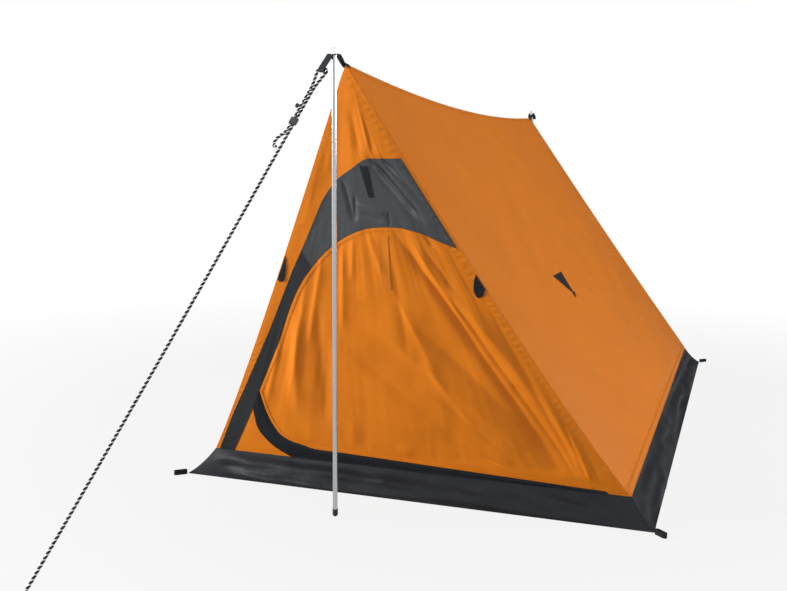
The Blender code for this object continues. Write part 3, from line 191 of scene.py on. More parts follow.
# Zip: distances of the tape's columns from the middle, and the sizes of the coil
ZIP_TAPE_COLUMNS = (0.0004, 0.003, 0.006, 0.009, 0.0118)
ZIP_COIL = {"Spacing": 0.0018, "Length": 0.0012, "Width": 0.0026, "Height": 0.0016}

# Strands of the guyline, as (turn from the first one, distance from its middle, radius), and the
# size and cord radius of its two knots
STRANDS = ((0.0, 0.0008, 0.0027), (math.pi, 0.0021, 0.0013))
GROUND_KNOT = (0.0052, 0.0026)
STOP_KNOT = (0.0042, 0.0023)
STOP_KNOT_PLACE = 0.088

# Guyline: half the distance between its two sides, the slack bight as (distance down the line,
# distance aside), and half the length and width of the peg eye
CORD_SPREAD = 0.0042
BIGHT = ((0.1523, 0.0092), (0.1613, 0.0182), (0.1723, 0.0232), (0.1833, 0.0182), (0.1843, 0.0102))
PEG_EYE = (0.0375, 0.0170)

# Camera of the photograph, in the tent's axes: place in metres, turns in degrees, lens in pixels
CAMERA_PLACE = (0.768, -2.3063, 0.8304)
CAMERA_YAW = 19.16
CAMERA_PITCH = 7.37
CAMERA_ROLL = 0.80
LENS_PIXELS = 1009.0
PHOTO_WIDTH = 787.0
SENSOR_WIDTH = 36.0
TENT_MIDDLE = (0.0, -0.2, 0.45)
WHITE = (1.0, 1.0, 1.0, 1.0)
PAPER_GREY = (0.28, 0.28, 0.28, 1.0)
PAPER_REACH = 14.0
PAPER_HEIGHT = -0.0004

# Points of the front wall's outlines at which they meet or turn a corner
TIP = 10
SHOULDER = 14
ARCH_CORNER = 22
ZIP_START = 6
ZIP_CORNER = 20
ZIP_FOOT = 7
FLAP_START = 4
FLAP_FOOT = 4

# Folds of the front cloth, as (side, height) at both ends, half width, and depth outwards
WALL_FOLDS = (
    ((0.150, 0.560), (0.480, 0.120), 0.030, 0.0060),
    ((0.060, 0.460), (0.420, 0.105), 0.030, -0.0050),
    ((-0.060, 0.470), (0.360, 0.110), 0.034, 0.0040),
    ((-0.130, 0.400), (0.200, 0.110), 0.034, -0.0030),
    ((-0.240, 0.480), (-0.290, 0.190), 0.020, 0.0040),
    ((-0.180, 0.520), (-0.210, 0.170), 0.024, -0.0030),
    ((-0.045, 0.960), (-0.160, 0.760), 0.022, -0.0030),
    ((0.030, 0.690), (0.385, 0.105), 0.012, -0.0060),
    ((0.130, 0.565), (0.430, 0.085), 0.009, -0.0045),
    ((0.205, 0.590), (0.440, 0.085), 0.008, -0.0032),
    ((0.075, 0.660), (0.180, 0.470), 0.008, 0.0025),
    ((0.100, 0.640), (0.165, 0.545), 0.005, -0.0022),
    ((0.100, 0.685), (0.120, 0.650), 0.004, -0.0018),
    ((0.155, 0.670), (0.190, 0.620), 0.004, -0.0018),
    ((0.195, 0.625), (0.205, 0.590), 0.004, -0.0015),
    ((0.300, 0.420), (0.455, 0.095), 0.006, 0.0026),
    ((0.385, 0.270), (0.450, 0.090), 0.006, -0.0022),
    ((0.405, 0.240), (0.460, 0.090), 0.005, 0.0022),
    ((0.430, 0.210), (0.480, 0.095), 0.005, -0.0018),
    ((0.190, 0.130), (0.315, 0.080), 0.004, -0.0014),
    ((0.200, 0.110), (0.285, 0.080), 0.004, -0.0012),
    ((-0.150, 0.625), (-0.225, 0.380), 0.008, 0.0024),
    ((-0.095, 0.655), (-0.125, 0.430), 0.007, 0.0022),
    ((-0.065, 0.675), (-0.085, 0.560), 0.006, 0.0018),
    ((-0.030, 0.685), (-0.005, 0.580), 0.007, 0.0018),
    ((-0.200, 0.560), (-0.300, 0.240), 0.008, 0.0020),
    ((-0.300, 0.390), (-0.370, 0.220), 0.007, 0.0020),
    ((0.020, 0.620), (0.035, 0.370), 0.012, -0.0018),
    ((0.010, 0.560), (0.120, 0.290), 0.011, 0.0020),
    ((0.060, 0.390), (0.190, 0.190), 0.010, 0.0020),
    ((0.080, 0.290), (0.290, 0.110), 0.010, -0.0018),
    ((-0.020, 1.000), (0.000, 0.860), 0.005, 0.0016),
    ((-0.005, 0.930), (0.005, 0.850), 0.004, -0.0016),
    ((0.020, 0.950), (0.040, 0.860), 0.004, -0.0018),
    ((-0.035, 0.960), (-0.025, 0.850), 0.008, -0.0018),
    ((-0.080, 0.910), (-0.110, 0.810), 0.007, 0.0020),
    ((-0.110, 0.860), (-0.160, 0.730), 0.007, -0.0018),
    ((-0.150, 0.770), (-0.195, 0.680), 0.006, 0.0016),
    ((-0.010, 0.850), (0.110, 0.700), 0.010, -0.0070),
    ((0.020, 0.850), (0.120, 0.740), 0.009, -0.0070),
    ((-0.075, 0.800), (-0.060, 0.700), 0.005, -0.0030),
    ((-0.050, 0.765), (-0.055, 0.705), 0.004, -0.0025),
    ((0.025, 0.730), (0.025, 0.695), 0.003, -0.0015),
    ((-0.050, 0.745), (0.020, 0.720), 0.005, 0.0022),
    ((-0.040, 0.725), (0.010, 0.705), 0.004, -0.0020),
)

# Outlines of the front panels, as (share across from the left seam to the right one, height)
ARCH_OUTER = (
    (0.0118, SKIRT_HEIGHT),
    (0.0197, 0.200),
    (0.0273, 0.255),
    (0.0491, 0.396),
    (0.1104, 0.648),
    (0.2698, 0.796),
    (0.5636, 0.841),
)
ARCH_INNER = (
    (0.0500, SKIRT_HEIGHT),
    (0.0683, 0.200),
    (0.0735, 0.253),
    (0.0924, 0.365),
    (0.1663, 0.586),
    (0.2982, 0.656),
    (0.4474, 0.687),
    (0.6842, 0.693),
)
ZIP_CURVE = ((0.1159, 0.185), (0.1658, 0.130), (0.2544, 0.098))
FLAP_CURVE = ((0.1055, 0.132), (0.1526, 0.093), (0.2036, SKIRT_HEIGHT))


def lerp(start, end, share):
    return start + (end - start) * share


def unit(vector):
    return vector / np.maximum(np.linalg.norm(vector, axis=-1, keepdims=True), 1e-12)


def smoothstep(value):
    value = np.clip(value, 0.0, 1.0)
    return value * value * (3 - 2 * value)


def stepped(steps):
    """Rising shares from 0, evenly spread inside each (end value, count) step."""
    values = [0.0]
    for end, count in steps:
        begin = values[-1]
        values += [lerp(begin, end, (i + 1) / count) for i in range(count)]
    return np.array(values)


def smooth_path(keys, counts):
    """Smooth curve through the key points, with counts[i] segments between key i and the next."""
    keys = np.array(keys, float)
    chords = np.linalg.norm(np.diff(keys, axis=0), axis=1)
    slopes = np.diff(keys, axis=0) / chords[:, None]
    tangents = [slopes[0]]
    for i in range(1, len(slopes)):
        total = chords[i - 1] + chords[i]
        tangents.append((slopes[i - 1] * chords[i] + slopes[i] * chords[i - 1]) / total)
    tangents.append(slopes[-1])
    points = [keys[:1]]
    for i, count in enumerate(counts):
        f = (np.arange(count) + 1)[:, None] / count
        near = (1 + 2 * f) * keys[i] + f * chords[i] * tangents[i]
        far = (3 - 2 * f) * keys[i + 1] + (f - 1) * chords[i] * tangents[i + 1]
        points.append((1 - f) ** 2 * near + f * f * far)
    return np.concatenate(points)


def finer(points, times, corners=()):
    """The same line with each segment cut into several, smooth except at the corner points."""
    marks = [0, *corners, len(points) - 1]
    parts = [points[:1]]
    for a, b in zip(marks, marks[1:]):
        parts.append(smooth_path(points[a : b + 1], [times] * (b - a))[1:])
    return np.concatenate(parts)


def smooth_noise(x, y, seed):
    """Soft noise from -1 to 1 with features about one unit across."""
    grid = np.random.default_rng(seed).uniform(-1, 1, (64, 64))
    column = np.floor(x).astype(int)
    row = np.floor(y).astype(int)
    across = smoothstep(x - column)
    down = smoothstep(y - row)
    here, ahead = column % 64, (column + 1) % 64
    low, high = row % 64, (row + 1) % 64
    near = lerp(grid[here, low], grid[ahead, low], across)
    far = lerp(grid[here, high], grid[ahead, high], across)
    return lerp(near, far, down)


def line_distance(points, line):
    """Distance of flat points from a flat line."""
    best = np.full(points.shape[:-1], 1e9)
    for start, end in zip(line, line[1:]):
        run = end - start
        share = np.clip(((points - start) @ run) / max(run @ run, 1e-12), 0.0, 1.0)
        gap = np.linalg.norm(points - start - share[..., None] * run, axis=-1)
        best = np.minimum(best, gap)
    return best


def on_wall(side, height):
    """Flat coordinates on the front wall: right of the centre, and up its slope from the skirt."""
    return np.array([side, (height - SKIRT_HEIGHT) / WALL_COS])


def across_wall(share, height):
    """Flat point on the front wall, at a share of the way from its left seam to its right one."""
    rise = (height - SKIRT_HEIGHT) / WALL_RISE
    left = lerp(-TOP_HALF_WIDTH, FRONT_APEX[0], rise)
    right = lerp(TOP_HALF_WIDTH, FRONT_APEX[0], rise)
    return on_wall(lerp(left, right, share), height)


def wall_point(flat, out=0.0):
    """Points of the front wall's plane, moved out along its normal."""
    flat = np.asarray(flat, float)
    side = flat[..., 0]
    rise = flat[..., 1]
    back = SKIRT_INSET_END - rise * WALL_SIN - out * WALL_COS
    height = SKIRT_HEIGHT + rise * WALL_COS - out * WALL_SIN
    return np.stack([side, back, height], -1)


def front_seam(side, share, bows=FRONT_EDGE_BOW):
    """Flat points of the front seam of one side, bowed in as a tight cut edge is."""
    share = np.asarray(share, float)[..., None]
    base = np.array([SIDES[side] * TOP_HALF_WIDTH, 0.0])
    apex = np.array([FRONT_APEX[0], WALL_SLOPE])
    along = unit(apex - base)
    inward = np.array([-along[1], along[0]]) * SIDES[side]
    bow = bows[side] * np.sin(np.pi * np.clip(share, 0.0, 1.0) ** FRONT_EDGE_SKEW)
    return lerp(base, apex, share) + inward * bow


def rear_seam(side, share):
    share = np.asarray(share, float)[..., None]
    base = np.array([SIDES[side] * TOP_HALF_WIDTH, BASE_LENGTH - SKIRT_INSET_END, SKIRT_HEIGHT])
    bow = np.array([SIDES[side] * REAR_EDGE_BOW, 0.0, 0.0])
    return lerp(base, REAR_APEX, share) - bow * np.sin(np.pi * share)


def ridge_point(share):
    share = np.asarray(share, float)[..., None]
    return lerp(FRONT_APEX, REAR_APEX, share) - 4 * RIDGE_SAG * UP * share * (1 - share)


def roof_base(side, along, up):
    """Blended surface between the ridge, the two end seams and the skirt seam of one side.

    It is the frame's own surface, but for a strip along the front that follows a fuller seam.
    """
    along = np.asarray(along, float)
    up = np.asarray(up, float)
    a = along[..., None]
    u = up[..., None]
    low = lerp(wall_point(front_seam(side, 0.0)), rear_seam(side, 0.0), a)
    across = lerp(low, ridge_point(along), u)
    solid_seam = wall_point(front_seam(side, up, SOLID_EDGE_BOW))
    lengthwise = lerp(solid_seam, rear_seam(side, up), a)
    fuller = (wall_point(front_seam(side, up)) - solid_seam) * (1 - smoothstep(a / 0.25))
    return across + lengthwise - lerp(low, lerp(FRONT_APEX, REAR_APEX, a), u) + fuller


def roof_normal(side, along, up):
    ahead = roof_base(side, along + 0.004, up) - roof_base(side, along - 0.004, up)
    above = roof_base(side, along, up + 0.004) - roof_base(side, along, up - 0.004)
    return unit(np.cross(ahead, above)) * SIDES[side]


def front_paths():
    """Flat outlines of the front wall's panels, all as lists that start at the lower left."""
    seam_right = front_seam("right", stepped(RIGHT_SEAM_STEPS))
    border = np.array([PANEL_BORDER, 0.0])
    tip = seam_right[TIP] - border
    shoulder = seam_right[SHOULDER] - border
    arch_left = smooth_path([across_wall(*key) for key in ARCH_OUTER], [4, 2, 3, 4, 3, 2])
    arch_top = smooth_path([arch_left[-1], shoulder], [4])
    inner = smooth_path([across_wall(*key) for key in ARCH_INNER] + [tip], [4, 2, 3, 4, 3, 2, 4, 4])
    corner = on_wall(*DOOR_CORNER)
    flap_end = on_wall(DOOR_CORNER[0] + 0.003, SKIRT_HEIGHT)
    zip_curve = smooth_path([inner[ZIP_START]] + [across_wall(*key) for key in ZIP_CURVE], [2, 2, 3])
    flap_curve = smooth_path([inner[FLAP_START]] + [across_wall(*key) for key in FLAP_CURVE], [1, 1, 2])
    zip_line = lerp(zip_curve[-1], corner, np.arange(1, 12)[:, None] / 11)
    flap_line = lerp(flap_curve[-1], flap_end, np.arange(1, 15)[:, None] / 14)
    zip_low = np.concatenate([zip_curve, zip_line])
    return {
        "seam_left": front_seam("left", stepped(LEFT_SEAM_STEPS)),
        "seam_right": seam_right,
        "outer": np.concatenate([arch_left, arch_top[1:], seam_right[SHOULDER - 1 : TIP - 1 : -1] - border]),
        "inner": inner,
        "zip_low": zip_low,
        "flap_low": np.concatenate([flap_curve, flap_line]),
        "zip": np.concatenate([inner[: ZIP_START - 1 : -1], zip_low[1:]]),
        "tip": tip,
        "corner": corner,
        "flap_end": flap_end,
    }


PATHS = front_paths()
OUTLINE = np.concatenate([PATHS["seam_left"], PATHS["seam_right"][-2::-1], PATHS["seam_left"][:1]])


def wall_relief(flat):
    """How far the front cloth stands out of its plane, with folds, puckers and unevenness."""
    flat = np.asarray(flat, float)
    strength = bpy.context.scene.tent_cloth.fold_strength
    height = np.zeros(flat.shape[:-1])
    for start, end, width, depth in WALL_FOLDS:
        first = on_wall(*start)
        run = on_wall(*end) - first
        length = np.linalg.norm(run)
        along = ((flat - first) @ run) / length**2
        aside = ((flat - first) @ np.array([-run[1], run[0]])) / length
        spread = np.where(aside > 0, 1.3, 0.75) * width * (0.75 + 0.5 * np.clip(along, 0, 1))
        ends = smoothstep((along + 0.05) / 0.3) * smoothstep((1.05 - along) / 0.3)
        height += depth * ends * np.exp(-((abs(aside) / spread) ** 1.4))
    side = flat[..., 0]
    rise = flat[..., 1]
    height += 0.0022 * smooth_noise(side / 0.16 + 3, rise / 0.20, 11)
    height += 0.0005 * smooth_noise(side / 0.035, rise / 0.050, 12)
    away = flat - np.array([FRONT_APEX[0], WALL_SLOPE])
    reach = np.linalg.norm(away, axis=-1)
    turn = np.arctan2(away[..., 0], -away[..., 1])
    calm = 1 - 0.75 * np.exp(-(((side - 0.02) / 0.13) ** 2) - ((rise - 0.30) / 0.22) ** 2)
    broad = 1 - 2 * abs(smooth_noise(turn / 0.070 + 9, reach / 0.45, 14))
    fine = 1 - 2 * abs(smooth_noise(turn / 0.028 + 4, reach / 0.26, 15))
    rays = 0.0011 * broad + 0.0006 * fine
    patchy = 0.6 + 0.6 * smooth_noise(side / 0.12, rise / 0.15, 16)
    height += rays * calm * smoothstep(reach / 0.5) * patchy
    edge = line_distance(flat, OUTLINE)
    track = line_distance(flat, PATHS["zip_low"][ZIP_FOOT:])
    height *= smoothstep((edge - 0.003) / 0.055) * smoothstep((track - 0.010) / 0.030)
    pucker = np.sin(rise / 0.0026 + 2.5 * smooth_noise(rise / 0.03, side / 0.05, 13))
    height += 0.0005 * pucker * np.exp(-(((edge - 0.011) / 0.006) ** 2)) * smoothstep(rise / 0.05)
    return height * strength


def roof_relief(along, up):
    """How far a roof panel stands out of its smooth shape."""
    strength = bpy.context.scene.tent_cloth.fold_strength
    length = along * BASE_LENGTH
    slope = up * ROOF_SLOPE
    height = 0.0030 * smooth_noise(length / 0.30 + 7, slope / 0.22, 21)
    grain = length * 0.55 + slope
    height += 0.0004 * smooth_noise(grain / 0.024, (slope - length) / 0.24, 22)
    height += 0.0002 * smooth_noise(grain / 0.011 + 5, (slope - length) / 0.12, 23)
    for turn, size in ((-0.55, 0.9), (-0.25, 1.3), (0.0, 1.0), (0.3, 1.3), (0.6, 0.8)):
        reach = np.array([math.sin(turn), math.cos(turn)])
        dx = length - GUY_PULL[0] * BASE_LENGTH
        dy = slope - GUY_PULL[1] * ROOF_SLOPE
        far = dx * reach[0] + dy * reach[1]
        aside = dx * reach[1] - dy * reach[0]
        fade = smoothstep(far / 0.02) * np.exp(-np.clip(far, 0, None) / 0.07)
        height += 0.0014 * size * fade * np.exp(-((aside / (0.005 + 0.08 * np.clip(far, 0, 1))) ** 2))
    hem = smooth_noise(length / 0.045, slope / 0.12, 24)
    hem += 0.5 * smooth_noise(length / 0.021, slope / 0.08, 25)
    height += 0.0011 * hem * np.exp(-((slope - 0.035) / 0.035) ** 2)
    corner = np.exp(-(((BASE_LENGTH - length) / 0.35) ** 2)) * np.exp(-((slope / 0.22) ** 2))
    height += 0.0035 * corner * smooth_noise((length + slope) / 0.030, (length - slope) / 0.20, 26)
    edges = np.minimum(np.minimum(length, BASE_LENGTH - length), np.minimum(slope, ROOF_SLOPE - slope))
    return height * smoothstep((edges - 0.006) / 0.05) * strength


def roof_surface(side, along, up, out=0.0):
    """Points on the creased roof, moved out along its normal."""
    along, up = np.broadcast_arrays(np.asarray(along, float), np.asarray(up, float))
    lift = roof_relief(along, up) + out
    return roof_base(side, along, up) + roof_normal(side, along, up) * lift[..., None]


def wall_surface(flat, out=0.0):
    """Points on the creased front wall, moved out along its normal."""
    return wall_point(flat, wall_relief(flat) + out)


# Meshes


def link_piece(name, mesh, nodes, body):
    """Object that rides on a body and stands for the given nodes."""
    made = bpy.data.objects.new(name, mesh)
    bpy.context.scene.collection.objects.link(made)
    if body:
        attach(made, body)
    if nodes:
        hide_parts(*nodes)
    return made


def turn_outwards(mesh):
    solid = bmesh.new()
    solid.from_mesh(mesh)
    bmesh.ops.recalc_face_normals(solid, faces=solid.faces)
    solid.to_mesh(mesh)
    solid.free()


def make_piece(name, shape, look, slot, nodes=(), body="canopy", sharp=40.0, turned=True):
    """Piece from (vertices, faces, pattern), with its faces turned outwards unless they already are."""
    vertices, faces, pattern = shape
    mesh = bpy.data.meshes.new(name)
    mesh.from_pydata((vertices + ORIGIN).tolist(), [], faces)
    layer = mesh.uv_layers.new(name="pattern")
    corners = np.empty(len(mesh.loops), int)
    mesh.loops.foreach_get("vertex_index", corners)
    layer.data.foreach_set("uv", pattern[corners].astype(np.float32).ravel())
    mesh.shade_smooth()
    mesh.set_sharp_from_angle(angle=math.radians(sharp))
    mesh.materials.append(finish_of(look))
    if turned:
        turn_outwards(mesh)
    return link_piece(name, mesh, nodes, body)


def ruled(lines, columns):
    """Grid of points across several lines of equal length, with a number of columns between each pair."""
    parts = [lines[0][:, None]]
    for first, second, count in zip(lines, lines[1:], columns):
        share = (np.arange(count) + 1)[None, :, None] / count
        parts.append(lerp(first[:, None], second[:, None], share))
    return np.concatenate(parts, axis=1)


def quad_normals(points, quads):
    """Normals of four-cornered faces, as long as twice the faces' areas."""
    first = points[quads[:, 2]] - points[quads[:, 0]]
    second = points[quads[:, 3]] - points[quads[:, 1]]
    return np.cross(first, second)


def shell(grids, outward, thickness, offset=0.0):
    """Closed sheet from (points, pattern) grids, merged, faced outward and given its thickness."""
    points = np.concatenate([g.reshape(-1, 3) for g, _ in grids])
    pattern = np.concatenate([p.reshape(-1, 2) for _, p in grids])
    rounded = np.round(points * 2e5).astype(int)
    _, first, place = np.unique(rounded, axis=0, return_index=True, return_inverse=True)
    place = place.ravel()
    points = points[first]
    pattern = pattern[first]
    faces = []
    start = 0
    for grid, _ in grids:
        rows, columns = grid.shape[:2]
        index = place[start : start + rows * columns].reshape(rows, columns)
        start += rows * columns
        quads = np.stack([index[:-1, :-1], index[:-1, 1:], index[1:, 1:], index[1:, :-1]], -1)
        quads = quads.reshape(-1, 4)
        if (quad_normals(points, quads) @ np.asarray(outward)).sum() < 0:
            quads = quads[:, ::-1]
        for quad in quads.tolist():
            kept = [v for i, v in enumerate(quad) if v != quad[i - 1]]
            if len(set(kept)) == len(kept) > 2:
                faces.append(kept)
    normals = np.zeros_like(points)
    for size in (3, 4):
        group = np.array([f for f in faces if len(f) == size], int).reshape(-1, size)
        cross = quad_normals(points, group[:, [0, 1, 2, size - 1]])
        for i in range(size):
            np.add.at(normals, group[:, i], cross)
    normals = unit(normals)
    count = len(points)
    vertices = np.concatenate([points + normals * (offset + thickness), points + normals * offset])
    edges = {(a, b) for face in faces for a, b in zip(face, face[1:] + face[:1])}
    rim = [[b, a, a + count, b + count] for a, b in sorted(edges) if (b, a) not in edges]
    inside = [[v + count for v in reversed(face)] for face in faces]
    return vertices, faces + inside + rim, np.concatenate([pattern, pattern])


def make_cloth(
    name, grid, outward, look, slot, nodes=(), body="canopy", thickness=None, offset=0.0, more=()
):
    """Sheet of cloth from a (points, pattern) grid, and from more of them that join on."""
    if thickness is None:
        thickness = bpy.context.scene.tent_cloth.thickness
    shape = shell([grid, *more], outward, thickness, offset)
    return make_piece(name, shape, look, slot, nodes, body, 50.0, turned=False)


def path_lengths(points):
    steps = np.linalg.norm(np.diff(points, axis=0), axis=1)
    return np.concatenate([[0.0], np.cumsum(steps)])


def at_lengths(points, places):
    """Points of a line at the given distances along it."""
    lengths = path_lengths(points)
    return np.stack([np.interp(places, lengths, column) for column in points.T], -1)


def resampled(points, spacing):
    """The same line with points at equal spacing."""
    length = path_lengths(points)[-1]
    count = max(2, int(round(length / spacing)) + 1)
    return at_lengths(points, np.linspace(0.0, length, count))


def trimmed(points, start, end):
    """Part of a line between two distances from its ends, with closely spaced points."""
    length = path_lengths(points)[-1]
    return at_lengths(points, np.linspace(start, length - end, int((length - start - end) / 0.006) + 2))


def path_sides(points):
    """Unit sideways vector, to the left of travel, at each point of a flat line."""
    along = unit(np.gradient(points, axis=0))
    return np.stack([-along[:, 1], along[:, 0]], -1)


def carried_frames(points, closed=False):
    """Two axes square to a line at each point, carried along it without twist."""
    if closed:
        tangents = unit(np.roll(points, -1, 0) - np.roll(points, 1, 0))
    else:
        tangents = unit(np.gradient(points, axis=0))
    side = np.cross(tangents[0], [0.0, 0.0, 1.0])
    if np.linalg.norm(side) < 0.1:
        side = np.cross(tangents[0], [1.0, 0.0, 0.0])
    sides = []
    for tangent in tangents:
        side = unit(side - (side @ tangent) * tangent)
        sides.append(side)
    sides = np.array(sides)
    return sides, np.cross(tangents, sides)


def ring_faces(count, sides, closed=False):
    """Faces of a skin over rings of points, with the first and last ring filled in on an open one."""
    faces = []
    for k in range(count if closed else count - 1):
        here = k * sides
        there = (k + 1) % count * sides
        for i in range(sides):
            ahead = (i + 1) % sides
            faces.append([here + i, here + ahead, there + ahead, there + i])
    if not closed:
        faces.append(list(range(sides))[::-1])
        faces.append([(count - 1) * sides + i for i in range(sides)])
    return faces


def tube(points, radius, sides=10, closed=False):
    """Vertices, faces and pattern coordinates of a round tube with closed ends."""
    first, second = carried_frames(points, closed)
    angles = np.arange(sides) * 2 * np.pi / sides
    ring = np.multiply.outer(np.cos(angles), first) + np.multiply.outer(np.sin(angles), second)
    vertices = (points[:, None] + ring.swapaxes(0, 1) * radius).reshape(-1, 3)
    faces = ring_faces(len(points), sides, closed)
    along = np.repeat(path_lengths(points), sides)
    around = np.tile(angles * radius, len(points))
    return vertices, faces, np.stack([along, around], -1)


def joined(parts):
    """One set of vertices, faces and pattern coordinates from several."""
    vertices = []
    faces = []
    pattern = []
    start = 0
    for points, shape, uv in parts:
        vertices.append(points)
        pattern.append(uv)
        faces += [[v + start for v in face] for face in shape]
        start += len(points)
    return np.concatenate(vertices), faces, np.concatenate(pattern)


def strip(points, across, width, columns=5):
    """Grid of a flat band about a line, with its pattern coordinates."""
    share = np.linspace(-0.5, 0.5, columns) * width
    grid = points[:, None] + np.multiply.outer(share, across)
    return grid, np.stack(np.broadcast_arrays(path_lengths(points)[:, None], share), -1)


# Materials


def feed(tree, socket, value):
    """Link an input to a socket, or set it to a plain value."""
    if isinstance(value, bpy.types.NodeSocket):
        tree.links.new(value, socket)
    else:
        socket.default_value = value


def add_node(tree, kind, settings=None, **inputs):
    """New node with its settings and its inputs, whose names have _ for a space."""
    made = tree.nodes.new(kind)
    for key, value in (settings or {}).items():
        setattr(made, key, value)
    for key, value in inputs.items():
        feed(tree, made.inputs[key.replace("_", " ")], value)
    return made


def calculate(tree, operation, *values):
    made = add_node(tree, "ShaderNodeMath", {"operation": operation})
    for socket, value in zip(made.inputs, values):
        feed(tree, socket, value)
    return made.outputs[0]


def place_on(tree, kind):
    """Coordinates on the object, or on the piece's own pattern for UV."""
    return add_node(tree, "ShaderNodeTexCoord").outputs[kind]


def add_noise(tree, place, scale, detail, roughness=0.5):
    given = {"Vector": place, "Scale": scale, "Detail": detail, "Roughness": roughness}
    made = add_node(tree, "ShaderNodeTexNoise", **given)
    return made.outputs["Fac"]


def start_material(name, roughness, metallic=0.0, gloss=0.5):
    made = bpy.data.materials.new(name)
    made.use_nodes = True
    sockets = made.node_tree.nodes["Principled BSDF"].inputs
    sockets["Roughness"].default_value = roughness
    sockets["Metallic"].default_value = metallic
    sockets["Specular IOR Level"].default_value = gloss
    return made, made.node_tree, sockets


def mix_colours(tree, factor, first, second):
    """Colour that goes from the first to the second as the factor goes from 0 to 1."""
    mix = add_node(tree, "ShaderNodeMix", {"data_type": "RGBA"}, Factor=factor)
    feed(tree, mix.inputs[6], first)
    feed(tree, mix.inputs[7], second)
    return mix.outputs[2]


def tones(tree, factor, colour, darker, paler):
    """Colour that drifts between a darker and a paler share of itself."""
    ends = [(*[channel * share for channel in colour], 1.0) for share in (darker, paler)]
    return mix_colours(tree, factor, *ends)


def add_bumps(tree, sockets, *layers):
    """Bumps one over another on a shader, each as (strength, distance, height)."""
    under = {}
    for strength, distance, height in layers:
        bump = add_node(tree, "ShaderNodeBump", Strength=strength, Distance=distance, Height=height, **under)
        under = {"Normal": bump.outputs["Normal"]}
    tree.links.new(under["Normal"], sockets["Normal"])


def vary_roughness(tree, sockets, factor, roughness, more):
    ends = {"To_Min": roughness - 0.05, "To_Max": roughness + more}
    spread = add_node(tree, "ShaderNodeMapRange", Value=factor, **ends)
    tree.links.new(spread.outputs[0], sockets["Roughness"])


def weave_height(tree, along, across):
    """Height of a plain weave on the piece's own pattern, with thread spacings in metres."""
    axes = add_node(tree, "ShaderNodeSeparateXYZ", Vector=place_on(tree, "UV"))
    first = calculate(tree, "SINE", calculate(tree, "MULTIPLY", axes.outputs["X"], 2 * math.pi / along))
    second = calculate(tree, "SINE", calculate(tree, "MULTIPLY", axes.outputs["Y"], 2 * math.pi / across))
    return calculate(tree, "MULTIPLY", first, second)


def cloth_material(name, colour, roughness, crumple, gloss, sheen, second=None):
    """Coated nylon with a fine weave, crumples and sheen. A second colour fills the arch's side."""
    made, tree, sockets = start_material(name, roughness, gloss=gloss)
    place = place_on(tree, "Object")
    broad = add_noise(tree, place, 7.0, 3.0, 0.55)
    tone = tones(tree, broad, colour, 0.90, 1.06)
    if second:
        axes = add_node(tree, "ShaderNodeSeparateXYZ", Vector=place_on(tree, "UV"))
        leaning = calculate(tree, "MULTIPLY_ADD", axes.outputs["Y"], 0.45, axes.outputs["X"])
        edge = add_node(tree, "ShaderNodeMapRange", Value=leaning, From_Min=0.070, From_Max=0.078)
        tone = mix_colours(tree, edge.outputs[0], (*second, 1.0), tone)
    tree.links.new(tone, sockets["Base Color"])
    weave = weave_height(tree, 0.0011, 0.0011)
    crumples = add_noise(tree, place, 55.0, 4.0, 0.60)
    add_bumps(tree, sockets, (0.20, 0.0001, weave), (crumple, 0.003, crumples))
    vary_roughness(tree, sockets, broad, roughness, 0.07)
    sockets["Sheen Weight"].default_value = sheen
    sockets["Sheen Roughness"].default_value = 0.4
    sockets["Sheen Tint"].default_value = (*colour, 1.0)
    return made


def woven_material(name, colour, roughness, threads, relief, darker, paler, gloss):
    """Webbing or braided sheath on the piece's own pattern, with painted shade in the hollows between its
    threads and a painted highlight on their tops.
    """
    made, tree, sockets = start_material(name, roughness, gloss=gloss)
    height = weave_height(tree, *threads)
    add_bumps(tree, sockets, (*relief, height))
    # Painted shade and painted highlight: the colour follows the weave's height, darker in its hollows and
    # paler on the threads' tops.
    factor = calculate(tree, "MULTIPLY_ADD", height, 0.5, 0.5)
    tree.links.new(tones(tree, factor, colour, darker, paler), sockets["Base Color"])
    return made


def metal_material(name, colour, roughness, grain):
    """Metal with fine drawn lines along the piece."""
    made, tree, sockets = start_material(name, roughness, 1.0)
    stretched = add_node(tree, "ShaderNodeMapping", Vector=place_on(tree, "Object"), Scale=grain)
    lines = add_noise(tree, stretched.outputs[0], 1.0, 2.0)
    tree.links.new(tones(tree, lines, colour, 0.86, 1.04), sockets["Base Color"])
    add_bumps(tree, sockets, (0.25, 0.00004, lines))
    vary_roughness(tree, sockets, lines, roughness, 0.08)
    return made


def plastic_material(name, colour, roughness):
    """Moulded plastic or rubber with a fine spark-eroded grain."""
    made, tree, sockets = start_material(name, roughness)
    place = place_on(tree, "Object")
    scuffs = add_noise(tree, place, 160.0, 4.0)
    tree.links.new(tones(tree, scuffs, colour, 0.8, 1.4), sockets["Base Color"])
    add_bumps(tree, sockets, (0.2, 0.0001, add_noise(tree, place, 1400.0, 2.0)))
    return made


